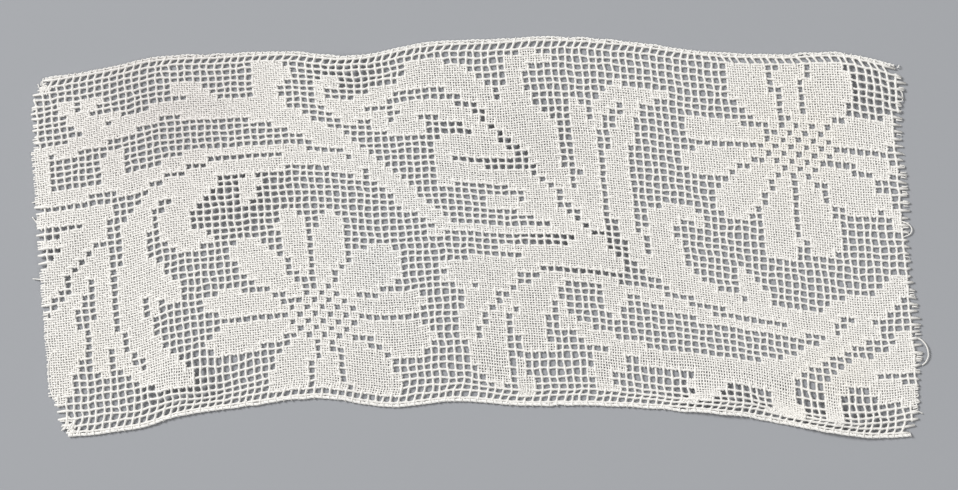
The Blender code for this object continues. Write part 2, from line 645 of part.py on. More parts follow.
def cord_route(row, radius, outward):
    """Middle line of an edge cord, its gap outside the net's edge, in metres."""
    first = RAW_ENDS[0].first if row == 0 else RAW_ENDS[-1].first
    last = RAW_ENDS[0].last if row == 0 else RAW_ENDS[-1].last
    count = round((last - first) / CORD_STEP_MESHES)
    route = []
    for k in range(count + 1):
        x, y, rise = laid(first + (last - first) * k / count, float(row))
        y += outward * (radius + CORD_GAP)
        route.append(Vector((x, y, rise + LACE_THICKNESS / 2)) * MM)
    return route


def build_edge_cord(name, row, radius, outward, material):
    """One edge cord: a round tube along the net's edge."""
    route = cord_route(row, radius, outward)
    tube = bmesh.new()
    rings = []
    for k, middle in enumerate(route):
        ahead = (route[min(k + 1, len(route) - 1)] - route[max(k - 1, 0)]).normalized()
        side = ahead.cross(Vector((0, 0, 1))).normalized()
        up = side.cross(ahead)
        ring = []
        for step in range(CORD_SIDES):
            turn = 2 * math.pi * (step + 0.5) / CORD_SIDES
            ring.append(tube.verts.new(middle + (side * math.cos(turn) + up * math.sin(turn)) * radius * MM))
        rings.append(ring)
    for near, far in zip(rings, rings[1:]):
        for k in range(CORD_SIDES):
            after = (k + 1) % CORD_SIDES
            tube.faces.new([near[k], near[after], far[after], far[k]])
    tube.faces.new(rings[0])
    tube.faces.new(rings[-1])
    bmesh.ops.recalc_face_normals(tube, faces=tube.faces)
    mesh = bpy.data.meshes.new(name)
    tube.to_mesh(mesh)
    tube.free()
    mesh.shade_smooth()
    return add_object(name, mesh, material)


def stand_on_origin(objects):
    """Move the meshes so that the origin lies under the middle of the whole box."""
    points = [vert.co for made in objects for vert in made.data.vertices]
    low = Vector([min(point[axis] for point in points) for axis in range(3)])
    high = Vector([max(point[axis] for point in points) for axis in range(3)])
    shift = Vector((-(low.x + high.x) / 2, -(low.y + high.y) / 2, -low.z))
    for made in objects:
        for vert in made.data.vertices:
            vert.co += shift


def main():
    """Build the lace piece."""
    remove_all_objects()
    linen = thread_material("darned linen thread", (0.76, 0.74, 0.67), 0.85)
    cord = thread_material("edge cord thread", (0.80, 0.78, 0.72), 0.8)
    ground = build_lace_ground(linen)
    upper = build_edge_cord("upper_edge_cord", 0, UPPER_CORD_RADIUS, 1, cord)
    lower = build_edge_cord("lower_edge_cord", MESH_ROWS, LOWER_CORD_RADIUS, -1, cord)
    stand_on_origin([ground, upper, lower])


main()
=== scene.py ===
"""Looks of the darned net lace border piece.

A knotted square net of linen thread carries a flower and leaf scroll, darned in cloth stitch
through the net's own threads. It lies flat on a pale table and is seen from straight above.
Every thread is modelled: the net, the darning both ways, the corded edges and the raw ends.
Places on the lace are given in meshes, as columns from the left and rows from the upper edge.
Sizes are millimetres unless a name or a note says otherwise.
"""
from __future__ import annotations

import logging
import math
from dataclasses import dataclass, field
from enum import Enum

import bpy
import numpy as np
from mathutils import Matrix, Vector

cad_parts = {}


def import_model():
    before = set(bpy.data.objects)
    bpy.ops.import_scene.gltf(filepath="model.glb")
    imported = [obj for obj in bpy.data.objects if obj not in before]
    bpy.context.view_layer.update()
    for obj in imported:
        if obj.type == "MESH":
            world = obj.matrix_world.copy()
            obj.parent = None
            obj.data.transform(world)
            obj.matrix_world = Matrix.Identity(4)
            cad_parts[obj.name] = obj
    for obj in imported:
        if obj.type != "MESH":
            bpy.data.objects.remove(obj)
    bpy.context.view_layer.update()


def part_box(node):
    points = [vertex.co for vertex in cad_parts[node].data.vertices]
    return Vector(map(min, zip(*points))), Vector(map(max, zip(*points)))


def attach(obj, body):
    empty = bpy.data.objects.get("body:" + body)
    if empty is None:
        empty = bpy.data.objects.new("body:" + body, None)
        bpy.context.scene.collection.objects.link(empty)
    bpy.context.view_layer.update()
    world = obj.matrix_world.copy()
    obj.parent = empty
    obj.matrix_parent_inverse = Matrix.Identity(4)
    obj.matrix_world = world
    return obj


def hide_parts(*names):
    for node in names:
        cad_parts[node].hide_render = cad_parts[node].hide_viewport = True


LOG = logging.getLogger("lace")
MM = 0.001

MESH_ROWS = 52
MESH_COLUMNS = 116
LACE_THICKNESS = 1.2

# Threads to a darned mesh each way: one of the net's own and two of the darning
THREADS_PER_MESH = 3

# The two maps of a piece: one for baking, and one that runs along and round each thread
BAKE_MAP = "OFBake"
THREAD_MAP = "thread"

# Drawing of the design: points on a stretch of a leaf, points a mesh on a vein,
# a flower's filled middle
LEAF_STEPS = 14
VEIN_STEPS = 3
EYE_MIDDLE = 0.6

# How steeply the waves and gathers fall off
BUMP_POWER = 1.2

# Places along the lower edge at which its lowest point is looked for
EDGE_SAMPLES = 200

# Guards: a length too short to divide by, a thread that doubles back, and one that stands upright
TINY = 1e-12
DOUBLED_BACK = 1e-6
UPRIGHT = 1e-4

# The map seen from above: its margin, and the height of the half for each side of the lace
MAP_MARGIN = 0.01
MAP_HALF = 0.5

# Sockets of a Mix node that mixes colours
MIX_FIRST = 6
MIX_SECOND = 7
MIX_RESULT = 2

# Loose fibres of a thread: how often they lie along it and round it, and the scale and layers
# of their noise
FIBRES_ALONG = 1.6
FIBRES_AROUND = 9.0
FIBRE_SCALE = 2.2
FIBRE_LAYERS = 3.0

# Stains and mottling: the noise that makes a stain's rim ragged, how far it moves the rim in metres,
# the noise of the mottling, and the layers of both
RIM_SCALE = 40.0
RIM_REACH = 0.05
MOTTLE_SCALE = 900.0
MOTTLE_LAYERS = 2.0


@dataclass(frozen=True)
class Section:
    """One column line of the net as laid: places in mm from the lower middle of the lace."""

    column: float
    upper_edge: tuple[float, float]
    upper_third: tuple[float, float]
    lower_third: tuple[float, float]
    lower_edge: tuple[float, float]


SECTIONS = (
    Section(0, (-158, 120.5), (-155, 85), (-152, 42.5), (-149, 1)),
    Section(12, (-127.5, 125.5), (-124.5, 89.5), (-121, 46.5), (-118, 4.5)),
    Section(18, (-112, 129), (-109, 93), (-105.5, 51), (-102.5, 9)),
    Section(26, (-91.5, 130), (-88.5, 94.5), (-85, 53.5), (-82, 12)),
    Section(36, (-66, 131), (-62.5, 96), (-59, 55.5), (-56, 15)),
    Section(42, (-50, 129.5), (-46.5, 95), (-43.5, 55), (-40, 13)),
    Section(46, (-39.5, 130), (-36, 94.5), (-32.5, 54.5), (-29.5, 12)),
    Section(54, (-19, 134), (-15.5, 95), (-11.5, 56), (-8, 14)),
    Section(62, (2, 135), (6, 93.5), (9.5, 55), (13.5, 12.5)),
    Section(70, (23, 136), (27, 94.5), (31, 54), (35, 12.5)),
    Section(80, (49, 134.5), (53, 93), (57, 51), (61, 11.5)),
    Section(90, (75.5, 131), (79.5, 90), (83.5, 47.5), (87.5, 9)),
    Section(100, (101.5, 130), (105.5, 88.5), (109.5, 43.5), (113.5, 4.5)),
    Section(108, (122.5, 130.5), (126.5, 86.5), (130.5, 41), (134.5, 1.5)),
    Section(115, (141, 126.5), (145, 85), (149, 41), (153, 2.5)),
)
SECTION_ROWS = (0.0, 17.0, 35.0, 52.0)


@dataclass(frozen=True)
class RawEnd:
    """Where the net is cut off at a row: its first and last column."""

    row: float
    first: float
    last: float


RAW_ENDS = (
    RawEnd(0, 3.5, 115),
    RawEnd(2, 2, 116),
    RawEnd(4, 1.5, 115.5),
    RawEnd(8, 1.5, 115),
    RawEnd(20, 1, 115),
    RawEnd(24, 1, 114.5),
    RawEnd(28, 1, 114.5),
    RawEnd(34, 1, 115),
    RawEnd(40, 1, 115),
    RawEnd(46, 1.5, 114),
    RawEnd(50, 2, 113.5),
    RawEnd(52, 3, 112.5),
)


@dataclass(frozen=True)
class Bump:
    """A soft change of the cloth: its middle and reach in meshes, and its size in mm."""

    column: float
    row: float
    reach_columns: float
    reach_rows: float
    size: float


# Bumps that lift the cloth off the table
WAVES = (
    Bump(18, 48.0, 8, 5, 1.8),
    Bump(43, 2.0, 7, 5, 1.2),
    Bump(26, 22.0, 12, 9, 1.0),
    Bump(62, 13.0, 13, 10, 1.2),
    Bump(72, 30.0, 12, 8, 1.4),
    Bump(88, 49.5, 9, 5, 2.0),
    Bump(103, 49.5, 10, 5, 2.4),
    Bump(111, 3.5, 7, 6, 1.4),
    Bump(3, 27.0, 6, 8, 1.0),
)

# Bumps that draw the rows towards the lower edge
GATHERS = (
    Bump(22, 48.2, 11, 4.8, 2.1),
    Bump(62, 48.4, 16, 4.6, 1.5),
    Bump(82, 48.4, 17, 4.8, 2.6),
    Bump(101, 48.2, 16, 5.0, 3.3),
)


@dataclass(frozen=True)
class Leaf:
    """A darned leaf or stem: places along its middle as column, row and width, in meshes."""

    name: str
    places: tuple[tuple[float, float, float], ...]


LEAVES = (
    Leaf("upper stem", ((1.5, 17.5, 3), (2.4, 13.5, 2.4), (6.5, 11.6, 2.2), (13, 9.6, 2.8),
                        (21, 8.3, 2.6), (29, 8.6, 3), (34, 10, 3.4), (38, 12.2, 3.2), (41.6, 14.8, 3.6),
                        (45.6, 18.4, 2.9), (49.8, 22.8, 2.9), (52.6, 25.8, 2.2), (54.6, 27.8, 1.4))),
    Leaf("upper stem leaf at the left", ((6, 5, 1.6), (7.5, 6.6, 3.2), (9.5, 8.2, 3.4), (15, 9.2, 2.4))),
    Leaf("upper stem curl at the left", ((10, 4.2, 1.4), (9, 5.2, 1.8), (8.2, 6.6, 2))),
    Leaf("upper stem leaf in the middle", ((20.6, 4.8, 1.6), (23, 5.6, 2.6), (26.5, 8.2, 3),
                                           (31, 9.2, 3))),
    Leaf("upper stem tall leaf", ((33.8, 1.6, 3), (33.2, 3.2, 4.8), (32.3, 6, 3.2), (33.6, 9.4, 4))),
    Leaf("stem filling", ((32.5, 9, 3.6), (36.5, 11.2, 3.2))),
    Leaf("second stem", ((0.8, 19, 2.2), (9.5, 18.6, 1.6), (17, 17.9, 2), (24, 15.6, 1.6),
                         (32, 15.6, 1.6), (36, 16.5, 2.2), (40, 17.2, 2.4), (43.4, 18.4, 2.4))),
    Leaf("second stem leaf", ((11.6, 13.8, 2), (11.4, 16.4, 2.8), (13.6, 18.6, 2.4), (19, 17.6, 2.2))),
    Leaf("second stem root", ((1.8, 11.8, 1.6), (1.8, 15, 2.4), (1.6, 19, 3))),
    Leaf("third stem", ((37, 17.2, 1.8), (31, 18, 1.8), (25.5, 18, 1.8), (20.6, 20, 3), (17, 21.6, 2.4),
                        (13.8, 25.5, 3.6), (13, 30.5, 4.2), (13.6, 35, 5.2), (13.2, 40, 3.8),
                        (15.4, 44.8, 4), (19.6, 47.2, 1.6))),
    Leaf("third stem lobe", ((14, 31.6, 4.2), (16.8, 34.4, 3.4), (18.6, 36.2, 1.8))),
    Leaf("third stem inner leaf", ((20.2, 20, 2.6), (19.2, 23.5, 4.2), (19.3, 27, 4.2),
                                   (20.8, 29.2, 1.8))),
    Leaf("third stem inner tip", ((19.8, 27.8, 2.4), (22.8, 28.2, 1.6))),
    Leaf("third stem outer leaf", ((24, 19.4, 2.4), (22.2, 22, 2.2), (20.4, 24, 2))),
    Leaf("third stem curl", ((29.6, 19.4, 1.8), (29.2, 21.6, 2.4), (28.2, 23, 1.4))),
    Leaf("left leaf upper band", ((0.8, 22, 2), (6, 21.9, 2), (10.6, 22, 1.6))),
    Leaf("left leaf middle band", ((0.8, 25.2, 1.4), (4.2, 25.4, 1.6), (8.6, 24.4, 3))),
    Leaf("left leaf wedge", ((8.4, 25, 2.2), (4.8, 28, 3), (1.4, 31.6, 3.6), (0.8, 33.2, 1.8))),
    Leaf("left leaf edge", ((0.6, 30.2, 1.8), (1.2, 33, 2.4))),
    Leaf("left leaf outer band", ((9.4, 27.6, 2), (6.4, 31, 3.4), (4.2, 34.6, 3.8), (3.2, 39, 4.8),
                                  (2.8, 43.5, 3.8), (2.2, 47, 1.8))),
    Leaf("left leaf inner lobe", ((9.4, 28, 2.2), (9.5, 33, 2.4), (9, 38, 3.6), (8.9, 42, 3.6),
                                  (8.8, 44.2, 2.2))),
    Leaf("left leaf foot", ((5, 38, 2.4), (4.6, 43, 1.6))),
    Leaf("top leaf curl", ((41.4, 3.6, 1.8), (39.6, 4.6, 1.6), (39.5, 7.4, 1.4), (42.4, 8.6, 2.6),
                           (45, 7.6, 2.2))),
    Leaf("top leaf", ((43, 9.4, 3), (46.5, 6.8, 2.6), (50.5, 5.3, 1.6), (56, 5.4, 2.2), (60, 8, 2.4),
                      (64, 12, 2.6))),
    Leaf("top leaf crown", ((51.6, 3, 1.4), (55, 3.6, 2.6), (58.4, 5, 3), (61, 7.6, 2.6))),
    Leaf("middle stem upper", ((60.4, 8.2, 2.2), (65, 12.4, 3.6), (69, 18.6, 3.2), (72.4, 24, 2.6),
                               (74.4, 28, 1.6))),
    Leaf("middle stem lower", ((42.6, 9.8, 1.8), (48, 8.6, 1.8), (52.5, 8.6, 2.6), (57.5, 10, 2.6),
                               (61.5, 13, 2.4), (65, 18, 2.6), (68.6, 22.6, 2.6), (72.2, 27.6, 2.6),
                               (75, 31.2, 2))),
    Leaf("top leaf underside", ((46.6, 10.8, 1.6), (49.6, 11.4, 3.6), (52.4, 12.2, 2.2))),
    Leaf("curl leaf", ((69, 2.4, 1.4), (65.8, 2.8, 2.4), (64.9, 5.4, 2.6), (65.4, 9.4, 4.2),
                       (67.8, 13, 4.8), (68.6, 17.6, 3), (71, 22.4, 3))),
    Leaf("second leaf upper lobe", ((55.4, 14.6, 2.4), (59, 14.6, 2.6), (63.6, 15.2, 2))),
    Leaf("second leaf root", ((54.9, 14.6, 1.8), (55.2, 17.6, 2.6), (54.8, 20.2, 1.6))),
    Leaf("second leaf lower lobe", ((55.6, 18.6, 3), (60, 18.8, 2.6), (65, 19.8, 3), (69.5, 24.4, 3))),
    Leaf("third leaf", ((60.6, 23.4, 2), (64.6, 23.2, 3), (69.6, 26, 2.6), (73.6, 29.6, 2.6))),
    Leaf("fourth leaf", ((52.6, 28.4, 1.4), (56.6, 27.3, 1), (62.4, 27.4, 1.2), (68.4, 28, 1.4),
                         (72.6, 29.8, 2))),
    Leaf("fifth leaf", ((62, 30.6, 1.8), (66, 31.2, 3), (70.6, 31.7, 2.9), (76, 31.7, 2.6))),
    Leaf("right upright leaf left side", ((78.4, 6.6, 2.4), (75.6, 9.2, 2), (73.6, 13.4, 2.6),
                                          (73.6, 18, 2.2), (73.8, 23, 2.6), (74, 27.6, 1.4))),
    Leaf("right upright leaf middle", ((72.6, 8.6, 1.8), (73, 12, 2.4))),
    Leaf("right upright leaf right side", ((84.4, 6.6, 1.2), (81, 7, 2.6), (79.2, 9.6, 2.8),
                                           (78, 13.8, 3.2), (77.2, 19, 3), (77.8, 25, 2.6),
                                           (79.4, 30.4, 1.8), (81.6, 32.6, 1.8))),
    Leaf("curled leaf on the right", ((87.4, 23.8, 1.6), (85, 22.9, 2.2), (82.6, 24.8, 3.4),
                                      (82.6, 28, 4), (83.4, 31.6, 3.6), (86, 33.6, 3))),
    Leaf("lower stem upper band", ((80.8, 31, 2), (84, 33, 3.4), (89.6, 35.2, 2.6), (96, 36, 2.2),
                                   (102, 36, 2.2), (106.6, 34.2, 3.8), (110.6, 33.2, 3),
                                   (113.2, 30.2, 2.6))),
    Leaf("lower stem side lobe", ((92.4, 30.6, 1.4), (93.8, 33, 3), (95.6, 35.4, 2.4))),
    Leaf("lower stem lower band", ((64, 32.4, 1.8), (68, 34.5, 1.5), (75, 34.6, 1.5), (80.6, 35.9, 2.2),
                                   (85.6, 37.6, 1.6), (92, 38.4, 1.2), (98.6, 37.9, 1.6),
                                   (104, 36.6, 1.6))),
    Leaf("swan leaf outer", ((64, 33, 2.4), (58.6, 34.2, 3.4), (58.4, 37, 3), (58.1, 40.4, 5.4),
                             (58.2, 44.6, 5), (59.6, 48.4, 2.8))),
    Leaf("swan leaf neck", ((54, 33.6, 1.6), (58.2, 33.8, 2.8), (62, 33.6, 3.2))),
    Leaf("swan leaf beak", ((54.2, 35.4, 1.8), (58.2, 35.4, 3.4), (61.6, 35, 3.4))),
    Leaf("swan leaf inner", ((67.4, 35.4, 2.6), (64.4, 37.4, 3.2), (61.4, 39.6, 2.8), (60.2, 42.2, 2.4),
                             (59.6, 46, 2.4))),
    Leaf("swan leaf tongue", ((65.8, 36.6, 4.2), (64.3, 40, 4.3), (64.4, 43, 3.6), (65.8, 44.3, 2))),
    Leaf("lower leaf top", ((68.6, 38.8, 1.4), (68.9, 40.6, 1.8), (70.8, 42.2, 1.9), (73.8, 43.2, 2),
                            (78, 44.4, 2.2), (83, 45.1, 2.2), (89, 45.4, 2.4), (95, 45, 3.2),
                            (100, 42.2, 2.6), (104.6, 39, 2.4), (108.6, 36.6, 2.6))),
    Leaf("lower leaf drop", ((75.6, 34.6, 2.6), (75.4, 37.4, 2.2), (75.2, 38.9, 1.6))),
    Leaf("small leaf below", ((62.8, 46.2, 1.4), (62.8, 48, 1.4), (63, 49.6, 2.6))),
    Leaf("small hook below", ((75.2, 45.4, 2.4), (73.2, 46.6, 3), (72.9, 48.2, 2.4), (73.9, 49.4, 1.8))),
    Leaf("lower scroll", ((84.4, 47.4, 1.2), (88, 46.8, 2.6), (86, 48.6, 2.4), (84.2, 50.2, 1.6))),
    Leaf("right foot", ((96.4, 45, 3), (97, 48, 3), (96.4, 51, 4.2))),
    Leaf("right corner scroll", ((103.4, 50.2, 1.6), (103.4, 47.2, 2.6), (104.8, 44.6, 3.2),
                                 (107.6, 42.8, 3.4), (111.2, 41.2, 3.2), (113.4, 38.4, 2.2))),
    Leaf("right corner leaf", ((105, 44.2, 2.4), (109, 45.2, 2.8), (113.4, 46.2, 3.2))),
    Leaf("right end leaf", ((112.4, 43, 2.4), (113.2, 38, 2.2))),
    Leaf("right flower side leaf", ((113.6, 8, 2), (112.4, 9.8, 3.2))),
    Leaf("right end stem", ((112.6, 18.6, 1), (113.6, 22.2, 1.6))),
    Leaf("third stem heel", ((10.6, 40.5, 1.6), (11.6, 43.4, 2.4), (13.6, 45.6, 2.4), (17, 47, 2))),
)


@dataclass(frozen=True)
class Flower:
    """A flower: its middle as column and row, and the reach of its pierced eye, in meshes."""

    name: str
    column: float
    row: float
    eye: float


FLOWERS = (
    Flower("left", 37.7, 40.6, 4.6),
    Flower("right", 101.4, 12.8, 4.4),
)


@dataclass(frozen=True)
class Petal:
    """A petal: its flower, its tip from the flower's middle, and its width, in meshes."""

    flower: str
    across: float
    down: float
    width: float


PETALS = (
    Petal("left", -4, -15.6, 4.6),
    Petal("left", 2.1, -15.2, 4.2),
    Petal("left", 10, -9.8, 6.8),
    Petal("left", 12.8, -2.2, 4.8),
    Petal("left", 13.8, 3.5, 5.6),
    Petal("left", 8.2, 11.6, 6.4),
    Petal("left", 0.8, 12, 4.6),
    Petal("left", -6.2, 11.6, 6),
    Petal("left", -15.4, 3, 4.8),
    Petal("left", -15.4, -2.9, 4.4),
    Petal("left", -11, -11.2, 5.6),
    Petal("right", -7.2, -12.2, 6.6),
    Petal("right", 0.3, -12.4, 5.4),
    Petal("right", 6.2, -12, 7),
    Petal("right", 12.8, -3.6, 5.2),
    Petal("right", 12.2, 1.8, 3.8),
    Petal("right", 9.8, 7.6, 6.2),
    Petal("right", 2.6, 14.4, 5.2),
    Petal("right", -4, 15.4, 6),
    Petal("right", -11, 9.4, 5.6),
    Petal("right", -15.4, 2.8, 4.6),
    Petal("right", -14.6, -2.6, 4.8),
)


@dataclass(frozen=True)
class Vein:
    """A line of meshes left open between darned parts, as columns and rows."""

    name: str
    places: tuple[tuple[float, float], ...]


VEINS = (
    Vein("second stem", ((33.5, 16.5), (24.5, 16.5), (23.5, 17.6), (21.5, 17.6), (20.5, 18.6),
                         (18.5, 18.8))),
    Vein("left band", ((1.5, 20.5), (12.5, 20.5))),
    Vein("left rib", ((10.5, 23.5), (10.5, 38.5), (11.5, 39.5), (11.5, 41.5), (12.5, 42.5),
                      (13.5, 44.5))),
    Vein("left rib beside", ((11.5, 23.5), (11.5, 29.5))),
    Vein("left diagonal", ((8.5, 26.5), (5.5, 29.5), (4.5, 30.5), (4.5, 32), (1.5, 34.8))),
    Vein("left inner rib", ((6.5, 36.5), (6.5, 44.5))),
    Vein("left outer edge", ((3.5, 12.5), (3.5, 15.5))),
    Vein("third stem inner", ((18.5, 22.3), (16.5, 24.3), (16.5, 26))),
    Vein("top leaf", ((45.5, 8.9), (48.5, 8.5), (48.5, 7.5), (50.5, 7), (56.5, 7), (57.5, 8.3),
                      (58.5, 8.3), (59.5, 9.3), (66.5, 17.5), (66.5, 18.4), (69.5, 21.5), (69.5, 23),
                      (73.5, 27.4), (75.5, 28.2))),
    Vein("second leaf", ((57.5, 16.8), (65.5, 16.8))),
    Vein("upright leaf", ((78.5, 8.6), (77.5, 10.5), (76.5, 12), (76.5, 14), (75.5, 15), (75.5, 29.5))),
    Vein("upright leaf left", ((71.3, 9.5), (71.3, 20.5))),
    Vein("upright leaf fork", ((74.5, 8.3), (74.5, 10.5))),
    Vein("lower stem rib", ((66.5, 33.5), (80.5, 33.5), (82.5, 35), (84.5, 35.2), (85.5, 36.2),
                            (87.5, 36.3), (88.5, 37.2), (97.5, 37.2))),
    Vein("swan leaf", ((64.5, 35.5), (63.5, 35.6), (62.5, 36.5), (61.5, 37.5), (60.5, 38.5),
                       (58.5, 40.5), (58.5, 41.5), (57.5, 42.5), (57.5, 43.5))),
    Vein("swan leaf tongue", ((61.5, 40.5), (61.5, 45.5))),
    Vein("third leaf", ((55.5, 21.5), (64.5, 21.2))),
    Vein("fourth leaf", ((64.5, 28.7), (70.5, 28.5))),
    Vein("curled leaf", ((85.5, 25.5), (85.5, 29.5))),
    Vein("right corner", ((109.5, 43.5), (112.5, 43.5), (112.6, 44.5), (113.5, 44.6))),
    Vein("upper stem slit", ((40.6, 15.6), (41.5, 15.6), (42.5, 16.6))),
    Vein("top leaf fork", ((49.5, 9.6), (48.5, 10.6))),
    Vein("flower stalk slit", ((105.5, 35.5), (106.5, 35.5), (104.5, 36.5))),
    Vein("fifth leaf slit", ((62.5, 31.3), (63.5, 31.2))),
    Vein("third leaf slit", ((64.5, 22.4), (64.5, 22.6))),
    Vein("curl at the left", ((7.5, 5.5), (7.6, 5.5))),
    Vein("curl at the left, second", ((9.5, 6.5), (9.6, 6.5))),
    Vein("upper stem eyelet", ((11.6, 8.6), (11.7, 8.6))),
    Vein("curl leaf eyelets", ((63.6, 13.6), (63.6, 13.7))),
    Vein("upper stem second eyelet", ((44.4, 18.6), (44.5, 18.6))),
    Vein("third stem tongue", ((9.5, 41.5), (9.5, 44.5))),
    Vein("upper stem back row", ((18.5, 9.8), (20.5, 9.8))),
    Vein("left inner rib top", ((7.5, 31.5), (7.5, 36.5))),
    Vein("left inner rib side", ((6.5, 33), (6.5, 37.5))),
    Vein("left inner rib foot", ((5.5, 35.5), (5.5, 37.5))),
    Vein("third stem notch", ((14.5, 35.5), (14.5, 37.5))),
    Vein("top leaf, upper", ((50.5, 6.5), (53.5, 6.5))),
    Vein("second leaf, right", ((62.5, 17.6), (66.5, 17.8))),
    Vein("lower stem rib beside", ((76.5, 34.5), (81.5, 34.5))),
    Vein("swan leaf tongue foot", ((62.5, 43.5), (62.5, 44.5))),
    Vein("swan leaf eyelet", ((62.5, 39.4), (62.6, 39.4))),
    Vein("swan leaf eye", ((57.5, 36.4), (57.6, 36.4))),
    Vein("right corner, upper", ((105.5, 45.5), (107.5, 45.5))),
    Vein("right corner, lower", ((104.5, 46.5), (108.5, 46.5))),
    Vein("right corner eyelet", ((104.5, 47.5), (104.6, 47.5))),
)


@dataclass(frozen=True)
class LooseThread:
    """A thread end that strays past the net: places as column, row and height in mm."""

    name: str
    places: tuple[tuple[float, float, float], ...]
    radius: float = 0.26


LOOSE_THREADS = (
    LooseThread("left stray, upper", ((1.6, 19.2, 0.6), (1.0, 19.1, 0.5), (0.4, 19.1, 0.4))),
    LooseThread("left stray, middle", ((1.5, 23.4, 0.6), (1.0, 22.4, 0.5), (0.3, 21.2, 0.4))),
    LooseThread("left stray, lower", ((1.3, 30.4, 0.6), (0.6, 30.2, 0.5), (-0.2, 30.0, 0.4))),
    LooseThread("left loose loop", ((2.1, 40.4, 0.6), (1.4, 41.1, 0.8), (1.05, 42.6, 0.9),
                                    (1.0, 44.8, 0.8), (1.3, 46.7, 0.6), (1.95, 47.4, 0.5))),
    LooseThread("right small loop", ((113.6, 21.4, 0.6), (114.7, 21.7, 0.7), (115.3, 22.4, 0.7),
                                     (115.0, 23.2, 0.6), (114.0, 23.7, 0.5))),
    LooseThread("right curved thread", ((114.4, 37.8, 0.6), (115.2, 38.2, 0.8), (115.8, 39.2, 0.9),
                                        (115.9, 40.5, 0.8), (115.5, 41.5, 0.6), (115.0, 42.0, 0.4)),
                radius=0.3),
    LooseThread("right short thread", ((113.0, 48.7, 0.6), (113.8, 48.9, 0.6), (114.4, 49.3, 0.4))),
    LooseThread("right upper stray", ((115.2, 2.8, 0.6), (115.7, 3.4, 0.5), (115.7, 4.4, 0.4))),
)


@dataclass(frozen=True)
class Clump:
    """A matted tuft over a corner: its middle, and how many short threads it holds."""

    column: float
    row: float
    count: int


CLUMPS = (
    Clump(3.4, 1.2, 30),
    Clump(3.4, 51.2, 34),
)


class ThreadWay(Enum):
    """The way that a thread runs through the lace."""

    ROWS = "rows"
    COLUMNS = "columns"


def soft_weights(stations: np.ndarray, at: np.ndarray) -> np.ndarray:
    """Weights of the values at stations for a soft curve through them.

    Args:
        stations: Rising places of the values.
        at: Places where the curve is wanted.

    Returns:
        One row of weights for each place in at.
    """
    count = len(stations)
    unit = np.eye(count)
    slope = np.empty((count, count))
    slope[0] = (unit[1] - unit[0]) / (stations[1] - stations[0])
    slope[-1] = (unit[-1] - unit[-2]) / (stations[-1] - stations[-2])
    for k in range(1, count - 1):
        slope[k] = (unit[k + 1] - unit[k - 1]) / (stations[k + 1] - stations[k - 1])
    place = np.clip(np.searchsorted(stations, at, side="right") - 1, 0, count - 2)
    width = stations[place + 1] - stations[place]
    share = (at - stations[place]) / width
    out = (2 * share**3 - 3 * share**2 + 1)[:, None] * unit[place]
    out += ((share**3 - 2 * share**2 + share) * width)[:, None] * slope[place]
    out += (3 * share**2 - 2 * share**3)[:, None] * unit[place + 1]
    out += ((share**3 - share**2) * width)[:, None] * slope[place + 1]
    return out


def soft_bump(column: np.ndarray, row: np.ndarray, bump: Bump) -> np.ndarray:
    """Size of a bump at each place, from full at its middle to nothing at its reach."""
    away = np.hypot((column - bump.column) / bump.reach_columns, (row - bump.row) / bump.reach_rows)
    return bump.size * (0.5 + 0.5 * np.cos(np.pi * np.minimum(away, 1.0))) ** BUMP_POWER


def end_columns(row: np.ndarray | float) -> tuple[np.ndarray, np.ndarray]:
    """Where the net is cut off at a row.

    Args:
        row: One row or several.

    Returns:
        Its first and its last column.
    """
    rows = [end.row for end in RAW_ENDS]
    first = np.interp(row, rows, [end.first for end in RAW_ENDS])
    last = np.interp(row, rows, [end.last for end in RAW_ENDS])
    return first, last


@dataclass
class LaidCloth:
    """The lace as it lies on the table.

    Attributes:
        shift: Metres from the tables' place to the frame's.
        stations: Columns of the sections.
        lines: Places of the sections at the section rows.
    """

    shift: np.ndarray = field(default_factory=lambda: np.zeros(3))
    stations: np.ndarray = field(init=False)
    lines: np.ndarray = field(init=False)

    def __post_init__(self) -> None:
        """Gather the sections into arrays, and meet the solid's box."""
        self.stations = np.array([section.column for section in SECTIONS], float)
        self.lines = np.array([[section.upper_edge, section.upper_third, section.lower_third,
                                section.lower_edge] for section in SECTIONS])
        rows = np.array([end.row for end in RAW_ENDS])
        firsts, lasts = end_columns(rows)
        ends = self.place(np.concatenate([firsts, lasts]), np.concatenate([rows, rows]))
        low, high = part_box("lace_ground")
        across = np.linspace(RAW_ENDS[-1].first, RAW_ENDS[-1].last, EDGE_SAMPLES)
        lower = self.place(across, np.full(EDGE_SAMPLES, float(MESH_ROWS)))
        middle = (ends[:, 0].min() + ends[:, 0].max()) / 2
        self.shift = np.array([(low[0] + high[0]) / 2 - middle, low[1] - lower[:, 1].min(), 0.0])

    def place(self, column: np.ndarray, row: np.ndarray) -> np.ndarray:
        """Places of mesh corners in metres, on the underside of the cloth.

        Args:
            column: Columns, whole at the net's own threads.
            row: Rows, whole at the net's own threads.

        Returns:
            One row of x, y and z for each place.
        """
        column, row = np.asarray(column, float), np.asarray(row, float)
        across = soft_weights(self.stations, column)
        down = soft_weights(np.array(SECTION_ROWS), row)
        out = np.zeros((len(column), 3))
        out[:, :2] = np.einsum("ni,nj,ijk->nk", across, down, self.lines)
        for gather in GATHERS:
            out[:, 1] -= soft_bump(column, row, gather)
        for wave in WAVES:
            out[:, 2] += soft_bump(column, row, wave)
        return out * MM + self.shift


